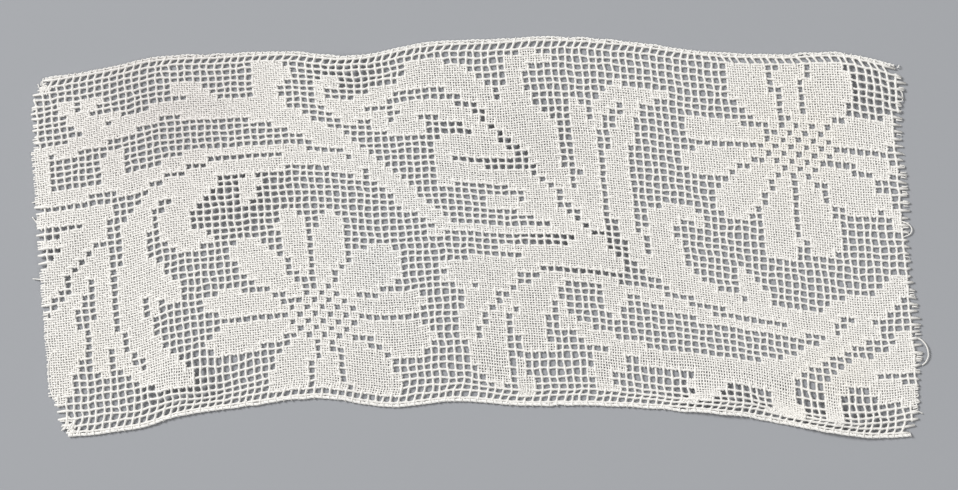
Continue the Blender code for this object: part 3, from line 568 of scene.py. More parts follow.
@dataclass
class DarnedDesign:
    """Which meshes are filled with cloth stitch.

    Attributes:
        petal_fullness: How full a petal's outline is.
        petal_root_width: A petal's width at its root, as a share.
        petal_tip_gain: How much wider it is at its tip.
        petal_start: Where it starts, as a share of its length.
        end_margin: How far past a raw end a darned mesh's middle may lie, in meshes.
        column: Column of each mesh's middle.
        row: Row of each mesh's middle.
        filled: Whether each mesh is darned.
    """

    petal_fullness: float = 4.6
    petal_root_width: float = 0.55
    petal_tip_gain: float = 0.6
    petal_start: float = 0.1
    end_margin: float = 0.1
    column: np.ndarray = field(init=False)
    row: np.ndarray = field(init=False)
    filled: np.ndarray = field(init=False)

    def __post_init__(self) -> None:
        """Draw the leaves, petals, eyes and veins onto the net."""
        columns, rows = np.arange(MESH_COLUMNS) + 0.5, np.arange(MESH_ROWS) + 0.5
        self.column, self.row = np.meshgrid(columns, rows, indexing="ij")
        self.filled = np.zeros((MESH_COLUMNS, MESH_ROWS), bool)
        self.draw_leaves()
        self.draw_petals()
        self.pierce_eyes()
        self.open_veins()
        self.filled[:, 0] = False
        self.filled[:, -1] = False
        first, last = end_columns(self.row)
        self.filled &= (self.column > first - self.end_margin) & (self.column < last + self.end_margin)

    def draw_leaves(self) -> None:
        """Fill the meshes under each leaf's stroke."""
        for leaf in LEAVES:
            places = np.array([leaf.places[0], *leaf.places, leaf.places[-1]])
            for a, b, c, d in zip(places, places[1:], places[2:], places[3:]):
                for t in np.linspace(0, 1, LEAF_STEPS + 1):
                    column, row, width = 0.5 * (2 * b + (c - a) * t + (2 * a - 5 * b + 4 * c - d) * t**2
                                                + (3 * b - a - 3 * c + d) * t**3)
                    self.filled |= np.hypot(self.column - column, self.row - row) < width / 2

    def draw_petals(self) -> None:
        """Fill the petals, with a line of open meshes where two of them meet."""
        flowers = {flower.name: flower for flower in FLOWERS}
        owner = np.full(self.filled.shape, -1)
        nearest = np.full(self.filled.shape, np.inf)
        for number, petal in enumerate(PETALS):
            flower = flowers[petal.flower]
            length = math.hypot(petal.across, petal.down)
            across, down = petal.across / length, petal.down / length
            x, y = self.column - flower.column, self.row - flower.row
            along = (x * across + y * down) / length
            aside = np.abs(y * across - x * down)
            swell = np.sqrt(np.clip(self.petal_fullness * along * (1 - along), 0, 1))
            half = petal.width / 2 * swell * (self.petal_root_width + self.petal_tip_gain * along)
            share = np.where(half > 0, aside / np.maximum(half, TINY), np.inf)
            mine = (along > self.petal_start) & (along < 1) & (aside < half) & (share < nearest)
            owner[mine] = number
            nearest[mine] = share[mine]
        self.filled |= owner >= 0
        meets = np.zeros(self.filled.shape, bool)
        meets[:-1] |= (owner[:-1] >= 0) & (owner[1:] >= 0) & (owner[:-1] != owner[1:])
        meets[:, :-1] |= (owner[:, :-1] >= 0) & (owner[:, 1:] >= 0) & (owner[:, :-1] != owner[:, 1:])
        self.filled &= ~meets

    def pierce_eyes(self) -> None:
        """Leave every second mesh open in the middle of each flower."""
        every_second = (np.floor(self.column) + np.floor(self.row)) % 2 == 0
        for flower in FLOWERS:
            away = np.hypot(self.column - flower.column, self.row - flower.row)
            eye = away < flower.eye
            opened = eye & every_second & (away > EYE_MIDDLE)
            self.filled = (self.filled | eye) & ~opened

    def open_veins(self) -> None:
        """Leave the meshes along each vein open."""
        for vein in VEINS:
            for start, end in zip(vein.places, vein.places[1:]):
                steps = max(2, round(VEIN_STEPS * max(abs(end[0] - start[0]), abs(end[1] - start[1]))))
                for share in np.linspace(0, 1, steps + 1):
                    column = start[0] + (end[0] - start[0]) * share
                    row = start[1] + (end[1] - start[1]) * share
                    self.filled[int(column), int(row)] = False

    def runs(self, way: ThreadWay) -> list[tuple[int, int, int]]:
        """Unbroken runs of darned meshes.

        Args:
            way: Whether the runs lie along rows or along columns.

        Returns:
            For each run its line's number, its first mesh and one past its last.
        """
        lines = self.filled.T if way is ThreadWay.ROWS else self.filled
        found = []
        for number, line in enumerate(lines):
            steps = np.diff(np.concatenate([[0], line.astype(int), [0]]))
            starts, ends = np.flatnonzero(steps == 1), np.flatnonzero(steps == -1)
            found += [(number, int(a), int(b)) for a, b in zip(starts, ends)]
        return found


class ThreadBatch:
    """Many threads that become one mesh of round, capped tubes."""

    def __init__(self, sides: int) -> None:
        """Start an empty batch whose tubes have this many sides."""
        self.sides = sides
        self.paths: list[np.ndarray] = []
        self.radii: list[np.ndarray] = []

    def add(self, path: np.ndarray, radius: np.ndarray | float) -> None:
        """Add a thread.

        Args:
            path: Places along its middle, in metres.
            radius: Its radius at each place, or one for all, in metres.
        """
        if len(path) < 2:
            return
        self.paths.append(np.asarray(path, float))
        self.radii.append(np.broadcast_to(np.asarray(radius, float), (len(path),)).copy())

    def directions(self, points: np.ndarray, starts: np.ndarray, ends: np.ndarray) -> np.ndarray:
        """Directions of the threads.

        Args:
            points: Every thread's points, one thread after the other.
            starts: First point of each thread.
            ends: Last point of each thread.

        Returns:
            A unit vector for each point.
        """
        steps = np.zeros_like(points)
        steps[:-1] = points[1:] - points[:-1]
        steps[ends] = steps[ends - 1]
        before = np.roll(steps, 1, axis=0)
        before[starts] = steps[starts]
        onward = steps / np.maximum(np.linalg.norm(steps, axis=1, keepdims=True), TINY)
        arrived = before / np.maximum(np.linalg.norm(before, axis=1, keepdims=True), TINY)
        out = onward + arrived
        doubled = np.linalg.norm(out, axis=1) < DOUBLED_BACK
        out[doubled] = onward[doubled]
        return out / np.maximum(np.linalg.norm(out, axis=1, keepdims=True), TINY)

    def build(self, name: str) -> bpy.types.Object:
        """Make the batch's mesh and link its object into the scene.

        Args:
            name: The piece's name.

        Returns:
            The new object.
        """
        sides = self.sides
        points, radii = np.concatenate(self.paths), np.concatenate(self.radii)
        sizes = np.array([len(path) for path in self.paths])
        ends = np.cumsum(sizes) - 1
        starts = ends - sizes + 1
        ahead = self.directions(points, starts, ends)
        side = np.cross(ahead, (0.0, 0.0, 1.0))
        upright = np.linalg.norm(side, axis=1) < UPRIGHT
        side[upright] = (1.0, 0.0, 0.0)
        side /= np.linalg.norm(side, axis=1, keepdims=True)
        up = np.cross(side, ahead)
        turns = np.pi / 2 + 2 * np.pi * np.arange(sides) / sides
        rim = side[:, None] * np.cos(turns)[None, :, None] + up[:, None] * np.sin(turns)[None, :, None]
        vertices = (points[:, None] + rim * radii[:, None, None]).reshape(-1, 3)

        linked = np.ones(len(points), bool)
        linked[ends] = False
        near = np.flatnonzero(linked)
        k = np.arange(sides)
        after = (k + 1) % sides
        here, there = near[:, None] * sides, (near + 1)[:, None] * sides
        quads = np.stack([here + k, there + k, there + after, here + after], axis=2).reshape(-1, 4)
        first_caps = starts[:, None] * sides + k
        last_caps = ends[:, None] * sides + k[::-1]
        loops = np.concatenate([quads.ravel(), first_caps.ravel(), last_caps.ravel()]).astype(np.int32)
        quad_starts = np.arange(len(quads)) * 4
        cap_starts = len(quads) * 4 + np.arange(2 * len(starts)) * sides
        loop_starts = np.concatenate([quad_starts, cap_starts]).astype(np.int32)

        mesh = bpy.data.meshes.new(name)
        mesh.vertices.add(len(vertices))
        mesh.vertices.foreach_set("co", vertices.astype(np.float32).ravel())
        mesh.loops.add(len(loops))
        mesh.loops.foreach_set("vertex_index", loops)
        mesh.polygons.add(len(loop_starts))
        mesh.polygons.foreach_set("loop_start", loop_starts)
        mesh.update(calc_edges=True)
        mesh.shade_smooth()

        length = np.zeros(len(points))
        length[1:] = np.linalg.norm(points[1:] - points[:-1], axis=1)
        length[starts] = 0.0
        travelled = np.cumsum(length)
        travelled -= np.repeat(travelled[starts], sizes)
        self.thread_map(mesh, near, travelled, starts, ends)
        self.flat_map(mesh, vertices, quads, loops)
        made = bpy.data.objects.new(name, mesh)
        bpy.context.scene.collection.objects.link(made)
        return made

    def thread_map(self, mesh: bpy.types.Mesh, near: np.ndarray, travelled: np.ndarray,
                   starts: np.ndarray, ends: np.ndarray) -> None:
        """Map with millimetres along each thread and the share of a turn round it.

        Args:
            mesh: The batch's mesh.
            near: Points that a stretch of thread starts from.
            travelled: Metres along its thread at each point.
            starts: First point of each thread.
            ends: Last point of each thread.
        """
        k = np.arange(self.sides)
        here, there = travelled[near], travelled[near + 1]
        along = np.stack([here, there, there, here], axis=1) / MM
        along = np.repeat(along[:, None], self.sides, axis=1)
        turn = np.stack([k, k, k + 1, k + 1], axis=1) / self.sides
        turn = np.broadcast_to(turn[None], along.shape)
        body = np.stack([along, turn], axis=3).reshape(-1, 2)
        caps = []
        for tips in (starts, ends):
            cap = np.broadcast_arrays(travelled[tips][:, None] / MM, (k / self.sides)[None])
            caps.append(np.stack(cap, axis=2).reshape(-1, 2))
        layer = mesh.uv_layers.new(name=THREAD_MAP)
        layer.uv.foreach_set("vector", np.concatenate([body, *caps]).astype(np.float32).ravel())

    def flat_map(self, mesh: bpy.types.Mesh, vertices: np.ndarray, quads: np.ndarray,
                 loops: np.ndarray) -> None:
        """Map seen from above, with the faces that look down in its lower half.

        Args:
            mesh: The batch's mesh.
            vertices: Its vertices.
            quads: The four vertices of each side face.
            loops: The vertex of each face corner, caps too.
        """
        low, high = vertices[:, :2].min(0), vertices[:, :2].max(0)
        room = (1 - 2 * MAP_MARGIN, MAP_HALF - 2 * MAP_MARGIN)
        flat = (vertices[:, :2] - low) / np.maximum(high - low, TINY) * room + MAP_MARGIN
        corner = flat[loops]
        a, b, d = vertices[quads[:, 0]], vertices[quads[:, 1]], vertices[quads[:, 3]]
        looks_up = np.cross(b - a, d - a)[:, 2] >= 0
        raised = np.zeros(len(loops))
        raised[: len(quads) * 4] = np.repeat(looks_up, 4) * MAP_HALF
        corner[:, 1] += raised
        layer = mesh.uv_layers.new(name=BAKE_MAP)
        layer.uv.foreach_set("vector", corner.astype(np.float32).ravel())
        mesh.uv_layers.active = layer


def new_group(name: str, inputs: dict[str, float | tuple],
              outputs: dict[str, str]) -> bpy.types.ShaderNodeTree:
    """Start a shader node group.

    Args:
        name: The group's name.
        inputs: Each input's name and its value, a number or a colour.
        outputs: Each output's name and its socket type.

    Returns:
        The group, with its input and output nodes named "in" and "out".
    """
    group = bpy.data.node_groups.new(name, "ShaderNodeTree")
    for label, value in inputs.items():
        kind = "NodeSocketColor" if isinstance(value, tuple) else "NodeSocketFloat"
        socket = group.interface.new_socket(name=label, in_out="INPUT", socket_type=kind)
        socket.default_value = value
    for label, kind in outputs.items():
        group.interface.new_socket(name=label, in_out="OUTPUT", socket_type=kind)
    group.nodes.new("NodeGroupInput").name = "in"
    group.nodes.new("NodeGroupOutput").name = "out"
    return group


def add_math(tree: bpy.types.NodeTree, kind: str, first: bpy.types.NodeSocket | float,
             second: bpy.types.NodeSocket | float | None = None) -> bpy.types.NodeSocket:
    """Put a Math node in a tree.

    Args:
        tree: The tree.
        kind: The operation.
        first: A socket or a number.
        second: A socket or a number, where the operation takes two.

    Returns:
        The node's output.
    """
    node = tree.nodes.new("ShaderNodeMath")
    node.operation = kind
    for slot, value in zip(node.inputs, (first, second)):
        if isinstance(value, bpy.types.NodeSocket):
            tree.links.new(value, slot)
        elif value is not None:
            slot.default_value = value
    return node.outputs[0]


def add_noise(tree: bpy.types.NodeTree, vector: bpy.types.NodeSocket, scale: float,
              detail: float) -> bpy.types.NodeSocket:
    """Put a Noise Texture in a tree.

    Args:
        tree: The tree.
        vector: Where the noise is read.
        scale: Its scale.
        detail: How many finer layers it has.

    Returns:
        Its value output.
    """
    node = tree.nodes.new("ShaderNodeTexNoise")
    node.inputs["Scale"].default_value = scale
    node.inputs["Detail"].default_value = detail
    tree.links.new(vector, node.inputs["Vector"])
    return node.outputs["Fac"]


def ply_twist_group() -> bpy.types.ShaderNodeTree:
    """Make the group for a plied thread's height, from its twisted plies and its loose fibres.

    Returns:
        The group, with the thread's height and a mask of the grooves between its plies, for painted shade
        in them.
    """
    group = new_group("ply twist", {"Turns per mm": 0.8, "Plies": 2.0, "Fibre": 0.4},
                      {"Height": "NodeSocketFloat", "Groove shade": "NodeSocketFloat"})
    source, out = group.nodes["in"], group.nodes["out"]
    place = group.nodes.new("ShaderNodeUVMap")
    place.uv_map = THREAD_MAP
    parts = group.nodes.new("ShaderNodeSeparateXYZ")
    group.links.new(place.outputs["UV"], parts.inputs[0])
    along = add_math(group, "MULTIPLY", parts.outputs["X"], source.outputs["Turns per mm"])
    around = add_math(group, "MULTIPLY", parts.outputs["Y"], source.outputs["Plies"])
    phase = add_math(group, "MULTIPLY", add_math(group, "ADD", along, around), 2 * math.pi)
    ply = add_math(group, "ABSOLUTE", add_math(group, "SINE", add_math(group, "MULTIPLY", phase, 0.5)))
    stretched = group.nodes.new("ShaderNodeCombineXYZ")
    along = add_math(group, "MULTIPLY", parts.outputs["X"], FIBRES_ALONG)
    around = add_math(group, "MULTIPLY", parts.outputs["Y"], FIBRES_AROUND)
    group.links.new(along, stretched.inputs["X"])
    group.links.new(around, stretched.inputs["Y"])
    fibre = add_noise(group, stretched.outputs[0], FIBRE_SCALE, FIBRE_LAYERS)
    hair = add_math(group, "MULTIPLY", fibre, source.outputs["Fibre"])
    group.links.new(add_math(group, "ADD", ply, hair), out.inputs["Height"])
    # The grooves between the plies, as a mask for the painted shade in them
    group.links.new(add_math(group, "SUBTRACT", 1.0, ply), out.inputs["Groove shade"])
    return group


class Tone(Enum):
    """The tones that old linen takes."""

    OWN = "Own"
    CREAM = "Cream"
    GREY = "Grey"
    BLUSH = "Blush"


@dataclass(frozen=True)
class Stain:
    """A faint soft stain: its tone, its middle and reach on the lace in metres, and its strength."""

    tone: Tone
    x: float
    y: float
    reach: float
    strength: float


STAINS = (
    Stain(Tone.GREY, -0.025, 0.005, 0.075, 0.7),
    Stain(Tone.CREAM, 0.108, 0.034, 0.062, 0.75),
    Stain(Tone.CREAM, 0.122, -0.048, 0.055, 0.7),
    Stain(Tone.CREAM, -0.128, -0.040, 0.045, 0.6),
    Stain(Tone.BLUSH, -0.108, 0.046, 0.085, 0.95),
    Stain(Tone.BLUSH, -0.040, -0.052, 0.04, 0.4),
)


def linen_tone_group() -> bpy.types.ShaderNodeTree:
    """Make the group for old linen's colour: its own tone, faint stains and fine mottling.

    Returns:
        The group, with the colour and the mottling.
    """
    group = new_group("linen tone", {tone.value: (0.8, 0.8, 0.8, 1.0) for tone in Tone},
                      {"Color": "NodeSocketColor", "Mottle": "NodeSocketFloat"})
    source, out = group.nodes["in"], group.nodes["out"]
    place = group.nodes.new("ShaderNodeTexCoord")
    colour = source.outputs[Tone.OWN.value]
    rim = add_noise(group, place.outputs["Object"], RIM_SCALE, MOTTLE_LAYERS)
    ragged = add_math(group, "MULTIPLY", rim, RIM_REACH)
    for stain in STAINS:
        away = group.nodes.new("ShaderNodeVectorMath")
        away.operation = "DISTANCE"
        away.inputs[1].default_value = (stain.x, stain.y, 0.0)
        group.links.new(place.outputs["Object"], away.inputs[0])
        patch = group.nodes.new("ShaderNodeMapRange")
        patch.interpolation_type = "SMOOTHSTEP"
        patch.inputs["From Min"].default_value = stain.reach
        patch.inputs["From Max"].default_value = 0.0
        patch.inputs["To Max"].default_value = stain.strength
        group.links.new(add_math(group, "ADD", away.outputs["Value"], ragged), patch.inputs["Value"])
        mix = group.nodes.new("ShaderNodeMix")
        mix.data_type = "RGBA"
        group.links.new(patch.outputs[0], mix.inputs["Factor"])
        group.links.new(colour, mix.inputs[MIX_FIRST])
        group.links.new(source.outputs[stain.tone.value], mix.inputs[MIX_SECOND])
        colour = mix.outputs[MIX_RESULT]
    mottle = add_noise(group, place.outputs["Object"], MOTTLE_SCALE, MOTTLE_LAYERS)
    group.links.new(colour, out.inputs["Color"])
    group.links.new(mottle, out.inputs["Mottle"])
    return group


@dataclass(frozen=True)
class LinenFinish:
    """Matt linen or cotton thread.

    Attributes:
        name: The material's name.
        own: Its usual colour.
        cream: Its colour where it has yellowed.
        grey: Its colour where it is washed out.
        blush: Its colour where it is faintly stained.
        groove_shade_colour: What its colour is multiplied by in the grooves between its plies, as painted
            shade.
        groove_shade_strength: How strong that painted shade is.
        turns_per_mm: How tightly it is plied.
        relief: How deep the plies show, in millimetres.
        relief_strength: How strongly they show.
        roughness: Its least roughness.
        roughness_spread: How much rougher the mottling makes it.
        gloss: Its specular level.
        sheen: Strength of its soft sheen.
        sheen_roughness: Roughness of that sheen.
    """

    name: str
    own: tuple[float, float, float] = (0.83, 0.815, 0.785)
    cream: tuple[float, float, float] = (0.83, 0.80, 0.735)
    grey: tuple[float, float, float] = (0.81, 0.815, 0.81)
    blush: tuple[float, float, float] = (0.71, 0.68, 0.66)
    # Painted shade in the grooves between the plies: the colour multiplied in, and how strongly
    groove_shade_colour: tuple[float, float, float] = (0.80, 0.78, 0.74)
    groove_shade_strength: float = 0.45
    turns_per_mm: float = 0.55
    relief: float = 0.06
    relief_strength: float = 0.6
    roughness: float = 0.72
    roughness_spread: float = 0.2
    gloss: float = 0.25
    sheen: float = 0.25
    sheen_roughness: float = 0.6

    def material(self, tone: bpy.types.ShaderNodeTree,
                 twist: bpy.types.ShaderNodeTree) -> bpy.types.Material:
        """Build the finish.

        Args:
            tone: The group that gives linen its colours.
            twist: The group that gives thread its plies.

        Returns:
            The material.
        """
        made = bpy.data.materials.new(self.name)
        made.use_nodes = True
        tree = made.node_tree
        shader = tree.nodes["Principled BSDF"]
        shader.inputs["Specular IOR Level"].default_value = self.gloss
        shader.inputs["Sheen Weight"].default_value = self.sheen
        shader.inputs["Sheen Roughness"].default_value = self.sheen_roughness
        colours = tree.nodes.new("ShaderNodeGroup")
        colours.node_tree = tone
        tones = {Tone.OWN: self.own, Tone.CREAM: self.cream, Tone.GREY: self.grey, Tone.BLUSH: self.blush}
        for label, colour in tones.items():
            colours.inputs[label.value].default_value = (*colour, 1.0)
        plies = tree.nodes.new("ShaderNodeGroup")
        plies.node_tree = twist
        plies.inputs["Turns per mm"].default_value = self.turns_per_mm
        # Painted shade: the colour is darkened in the grooves between the plies
        shade = tree.nodes.new("ShaderNodeMix")
        shade.data_type = "RGBA"
        shade.blend_type = "MULTIPLY"
        shade.inputs[MIX_SECOND].default_value = (*self.groove_shade_colour, 1.0)
        painted_groove_shade = add_math(tree, "MULTIPLY", plies.outputs["Groove shade"], self.groove_shade_strength)
        tree.links.new(painted_groove_shade, shade.inputs["Factor"])
        tree.links.new(colours.outputs["Color"], shade.inputs[MIX_FIRST])
        tree.links.new(shade.outputs[MIX_RESULT], shader.inputs["Base Color"])
        rougher = add_math(tree, "MULTIPLY", colours.outputs["Mottle"], self.roughness_spread)
        tree.links.new(add_math(tree, "ADD", rougher, self.roughness), shader.inputs["Roughness"])
        bump = tree.nodes.new("ShaderNodeBump")
        bump.inputs["Strength"].default_value = self.relief_strength
        bump.inputs["Distance"].default_value = self.relief * MM
        tree.links.new(plies.outputs["Height"], bump.inputs["Height"])
        tree.links.new(bump.outputs["Normal"], shader.inputs["Normal"])
        return made


NET_FINISH = LinenFinish("net thread")
DARNING_FINISH = LinenFinish("darning thread", own=(0.84, 0.825, 0.795), turns_per_mm=0.5)
CORD_FINISH = LinenFinish("edge cord thread", own=(0.85, 0.84, 0.815), turns_per_mm=0.45)


def dress(piece: bpy.types.Object, material: bpy.types.Material) -> bpy.types.Object:
    """Give a piece its material and its body, and report it.

    Args:
        piece: The piece.
        material: Its material.

    Returns:
        The piece.
    """
    piece.data.materials.append(material)
    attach(piece, "root")
    LOG.info("%s: %d faces", piece.name, len(piece.data.polygons))
    return piece


@dataclass
class NetCorners:
    """Where the net's own threads cross, a little out of line as knotted by hand.

    Attributes:
        cloth: The lace as it lies.
        design: The darned design.
        open_wander: Spread of the corners in bare net, in meshes.
        darned_wander: Spread of the corners in darned net, in meshes.
        own_part: Part of the wander that each corner has for itself.
        shared_part: Part that it shares with its neighbours.
        most_wander: The most that a corner wanders, in spreads.
        upper_slant: How far the uppermost row leans, in meshes.
        slant_turns: Columns between which that lean turns the other way.
        lower_slant: How far the lowest row leans, in meshes.
        slant_above: How far the row above it leans, as a share of that.
        seed: Seed of the wander.
        chance: Source of the wander, and of the unevenness of net and darning.
        darned: Share of the four meshes round each corner that are darned.
        column: Column of each corner.
        row: Row of each corner.
    """

    cloth: LaidCloth
    design: DarnedDesign
    open_wander: float = 0.075
    darned_wander: float = 0.035
    own_part: float = 0.7
    shared_part: float = 0.5
    most_wander: float = 2.0
    upper_slant: float = 0.5
    slant_turns: tuple[float, float] = (86.0, 94.0)
    lower_slant: float = -0.6
    slant_above: float = 0.5
    seed: int = 11
    chance: np.random.Generator = field(init=False)
    darned: np.ndarray = field(init=False)
    column: np.ndarray = field(init=False)
    row: np.ndarray = field(init=False)

    def __post_init__(self) -> None:
        """Place the corners."""
        shape = (MESH_COLUMNS + 1, MESH_ROWS + 1)
        self.chance = np.random.default_rng(self.seed)
        around = np.zeros(shape)
        filled = self.design.filled.astype(float)
        around[:-1, :-1] += filled
        around[1:, :-1] += filled
        around[:-1, 1:] += filled
        around[1:, 1:] += filled
        self.darned = around / 4
        spread = self.open_wander + (self.darned_wander - self.open_wander) * self.darned
        own = self.chance.normal(size=(2, *shape))
        shared = (own + np.roll(own, 1, 1) + np.roll(own, 1, 2)) / math.sqrt(3)
        both = self.own_part * own + self.shared_part * shared
        wander = np.clip(both, -self.most_wander, self.most_wander) * spread
        column, row = np.meshgrid(np.arange(shape[0]), np.arange(shape[1]), indexing="ij")
        self.column = column + wander[0]
        self.row = row + wander[1]
        self.row[:, 0] = 0.0
        self.row[:, -1] = MESH_ROWS
        self.column[:, 0] += np.interp(np.arange(shape[0]), self.slant_turns,
                                       (self.upper_slant, -self.upper_slant))
        self.column[:, -2] += self.slant_above * self.lower_slant
        self.column[:, -1] += self.lower_slant

    def inside_mesh(self, column: np.ndarray, row: np.ndarray, across: np.ndarray,
                    down: np.ndarray) -> tuple[np.ndarray, np.ndarray]:
        """Places inside meshes.

        Args:
            column: Each mesh's column.
            row: Each mesh's row.
            across: Share of the mesh's width.
            down: Share of its height.

        Returns:
            The places' columns and rows, which follow the corners.
        """
        out = []
        for grid in (self.column, self.row):
            upper = grid[column, row] * (1 - across) + grid[column + 1, row] * across
            lower = grid[column, row + 1] * (1 - across) + grid[column + 1, row + 1] * across
            out.append(upper * (1 - down) + lower * down)
        return out[0], out[1]


@dataclass
class KnottedNet:
    """The net's own threads, both ways, with their small knots.

    Attributes:
        corners: Where the threads cross.
        material: Its material.
        thread_radius: Radius of a bar where the net is darned.
        bare_radius: Radius of a bar at its middle in bare net.
        knot_radius: Radius at a knot in bare net.
        unevenness: Spread of a bar's radius, as a share.
        sway: Spread of a bar's middle to the side, in meshes.
        weave: How far a thread lies above or below the cloth's middle where it is darned.
        bare_weave: The same in bare net.
        darned_from: Share of the four meshes round a corner from which it counts as darned.
        lap: How far the columns reach round the edge cords, in meshes.
        lap_taper: A thread's radius where it laps round a cord, as a share.
        cut_margin: Nearest that a cut end comes to a corner, in meshes.
        cut_reach: Most that a cut end reaches past the raw end, in meshes.
        cut_drift: Most that a cut end drifts to the side, in meshes.
        cut_taper: A thread's radius at its cut end, as a share.
        least_crossed: Fewest rows that a column's thread crosses; a shorter one is left out.
        sides: Sides of a thread's tube.
    """

    corners: NetCorners
    material: bpy.types.Material
    thread_radius: float = 0.3
    bare_radius: float = 0.35
    knot_radius: float = 0.6
    unevenness: float = 0.08
    sway: float = 0.03
    weave: float = 0.24
    bare_weave: float = 0.1
    darned_from: float = 0.3
    lap: float = 0.28
    lap_taper: float = 0.7
    cut_margin: float = 0.15
    cut_reach: float = 0.35
    cut_drift: float = 0.15
    cut_taper: float = 0.6
    least_crossed: int = 3
    sides: int = 4

    def thread(self, column: np.ndarray, row: np.ndarray,
               way: ThreadWay) -> tuple[np.ndarray, np.ndarray]:
        """One thread through a line of corners, with a point at each corner and between.

        Args:
            column: Column numbers of the corners.
            row: Row numbers of the corners.
            way: The way that the thread runs.

        Returns:
            Its places in metres and its radius at each.
        """
        corners = self.corners
        u, v = corners.column[column, row], corners.row[column, row]
        darned = corners.darned[column, row]
        over = np.where((column + row) % 2 == 0, 1.0, -1.0) * (1.0 if way is ThreadWay.ROWS else -1.0)
        height = over * np.where(darned > self.darned_from, self.weave, self.bare_weave)
        count = 2 * len(column) - 1
        places, radii = np.zeros((count, 3)), np.zeros(count)
        wander = corners.chance.normal(size=(2, len(column) - 1)) * self.sway
        places[::2, 0], places[::2, 1], places[::2, 2] = u, v, height
        places[1::2, 0] = (u[1:] + u[:-1]) / 2 + wander[0] * (way is ThreadWay.COLUMNS)
        places[1::2, 1] = (v[1:] + v[:-1]) / 2 + wander[1] * (way is ThreadWay.ROWS)
        places[1::2, 2] = (height[1:] + height[:-1]) / 2
        open_beside = np.clip(4 * (1 - darned), 0, 1)
        radii[::2] = self.thread_radius + (self.knot_radius - self.thread_radius) * open_beside
        beside = (open_beside[1:] + open_beside[:-1]) / 2
        bar = self.thread_radius + (self.bare_radius - self.thread_radius) * beside
        radii[1::2] = bar * (1 + self.unevenness * corners.chance.normal(size=len(column) - 1))
        return places, radii

    def raise_onto_cloth(self, places: np.ndarray) -> np.ndarray:
        """Put places of a thread onto the laid cloth.

        Args:
            places: Columns, rows and heights above the cloth's middle.

        Returns:
            The places in metres.
        """
        out = self.corners.cloth.place(places[:, 0], places[:, 1])
        out[:, 2] += (LACE_THICKNESS / 2 + places[:, 2]) * MM
        return out

    def cut_end(self, column: float, row: float, outward: int) -> tuple[float, float, float]:
        """Where a row's thread is cut off, past the raw end.

        Args:
            column: The raw end's column.
            row: The thread's row.
            outward: -1 at the left end, 1 at the right.

        Returns:
            The place as column, row and height.
        """
        chance = self.corners.chance
        reach = chance.uniform(0.0, self.cut_reach)
        return column + outward * reach, row + chance.uniform(-self.cut_drift, self.cut_drift), 0.0

    def build(self) -> bpy.types.Object:
        """Make and dress the net.

        Returns:
            The piece.
        """
        batch = ThreadBatch(self.sides)
        for row in range(MESH_ROWS + 1):
            first, last = (float(end) for end in end_columns(row))
            left, right = math.ceil(first + self.cut_margin), math.floor(last - self.cut_margin)
            columns = np.arange(left, right + 1)
            places, radii = self.thread(columns, np.full(len(columns), row), ThreadWay.ROWS)
            start = self.cut_end(first, row, -1)
            end = self.cut_end(last, row, 1)
            places = np.vstack([start, places, end])
            radii = np.concatenate([[radii[0] * self.cut_taper], radii, [radii[-1] * self.cut_taper]])
            batch.add(self.raise_onto_cloth(places), radii * MM)
        rows = np.arange(MESH_ROWS + 1)
        firsts, lasts = end_columns(rows)
        for column in range(MESH_COLUMNS + 1):
            crossed = rows[(firsts + self.cut_margin <= column) & (column <= lasts - self.cut_margin)]
            if len(crossed) < self.least_crossed:
                continue
            places, radii = self.thread(np.full(len(crossed), column), crossed, ThreadWay.COLUMNS)
            top = (places[0, 0], places[0, 1] - self.lap, 0.0)
            foot = (places[-1, 0], places[-1, 1] + self.lap, 0.0)
            places = np.vstack([top, places, foot])
            radii = np.concatenate([[radii[0] * self.lap_taper], radii, [radii[-1] * self.lap_taper]])
            batch.add(self.raise_onto_cloth(places), radii * MM)
        return dress(batch.build("knotted_net"), self.material)


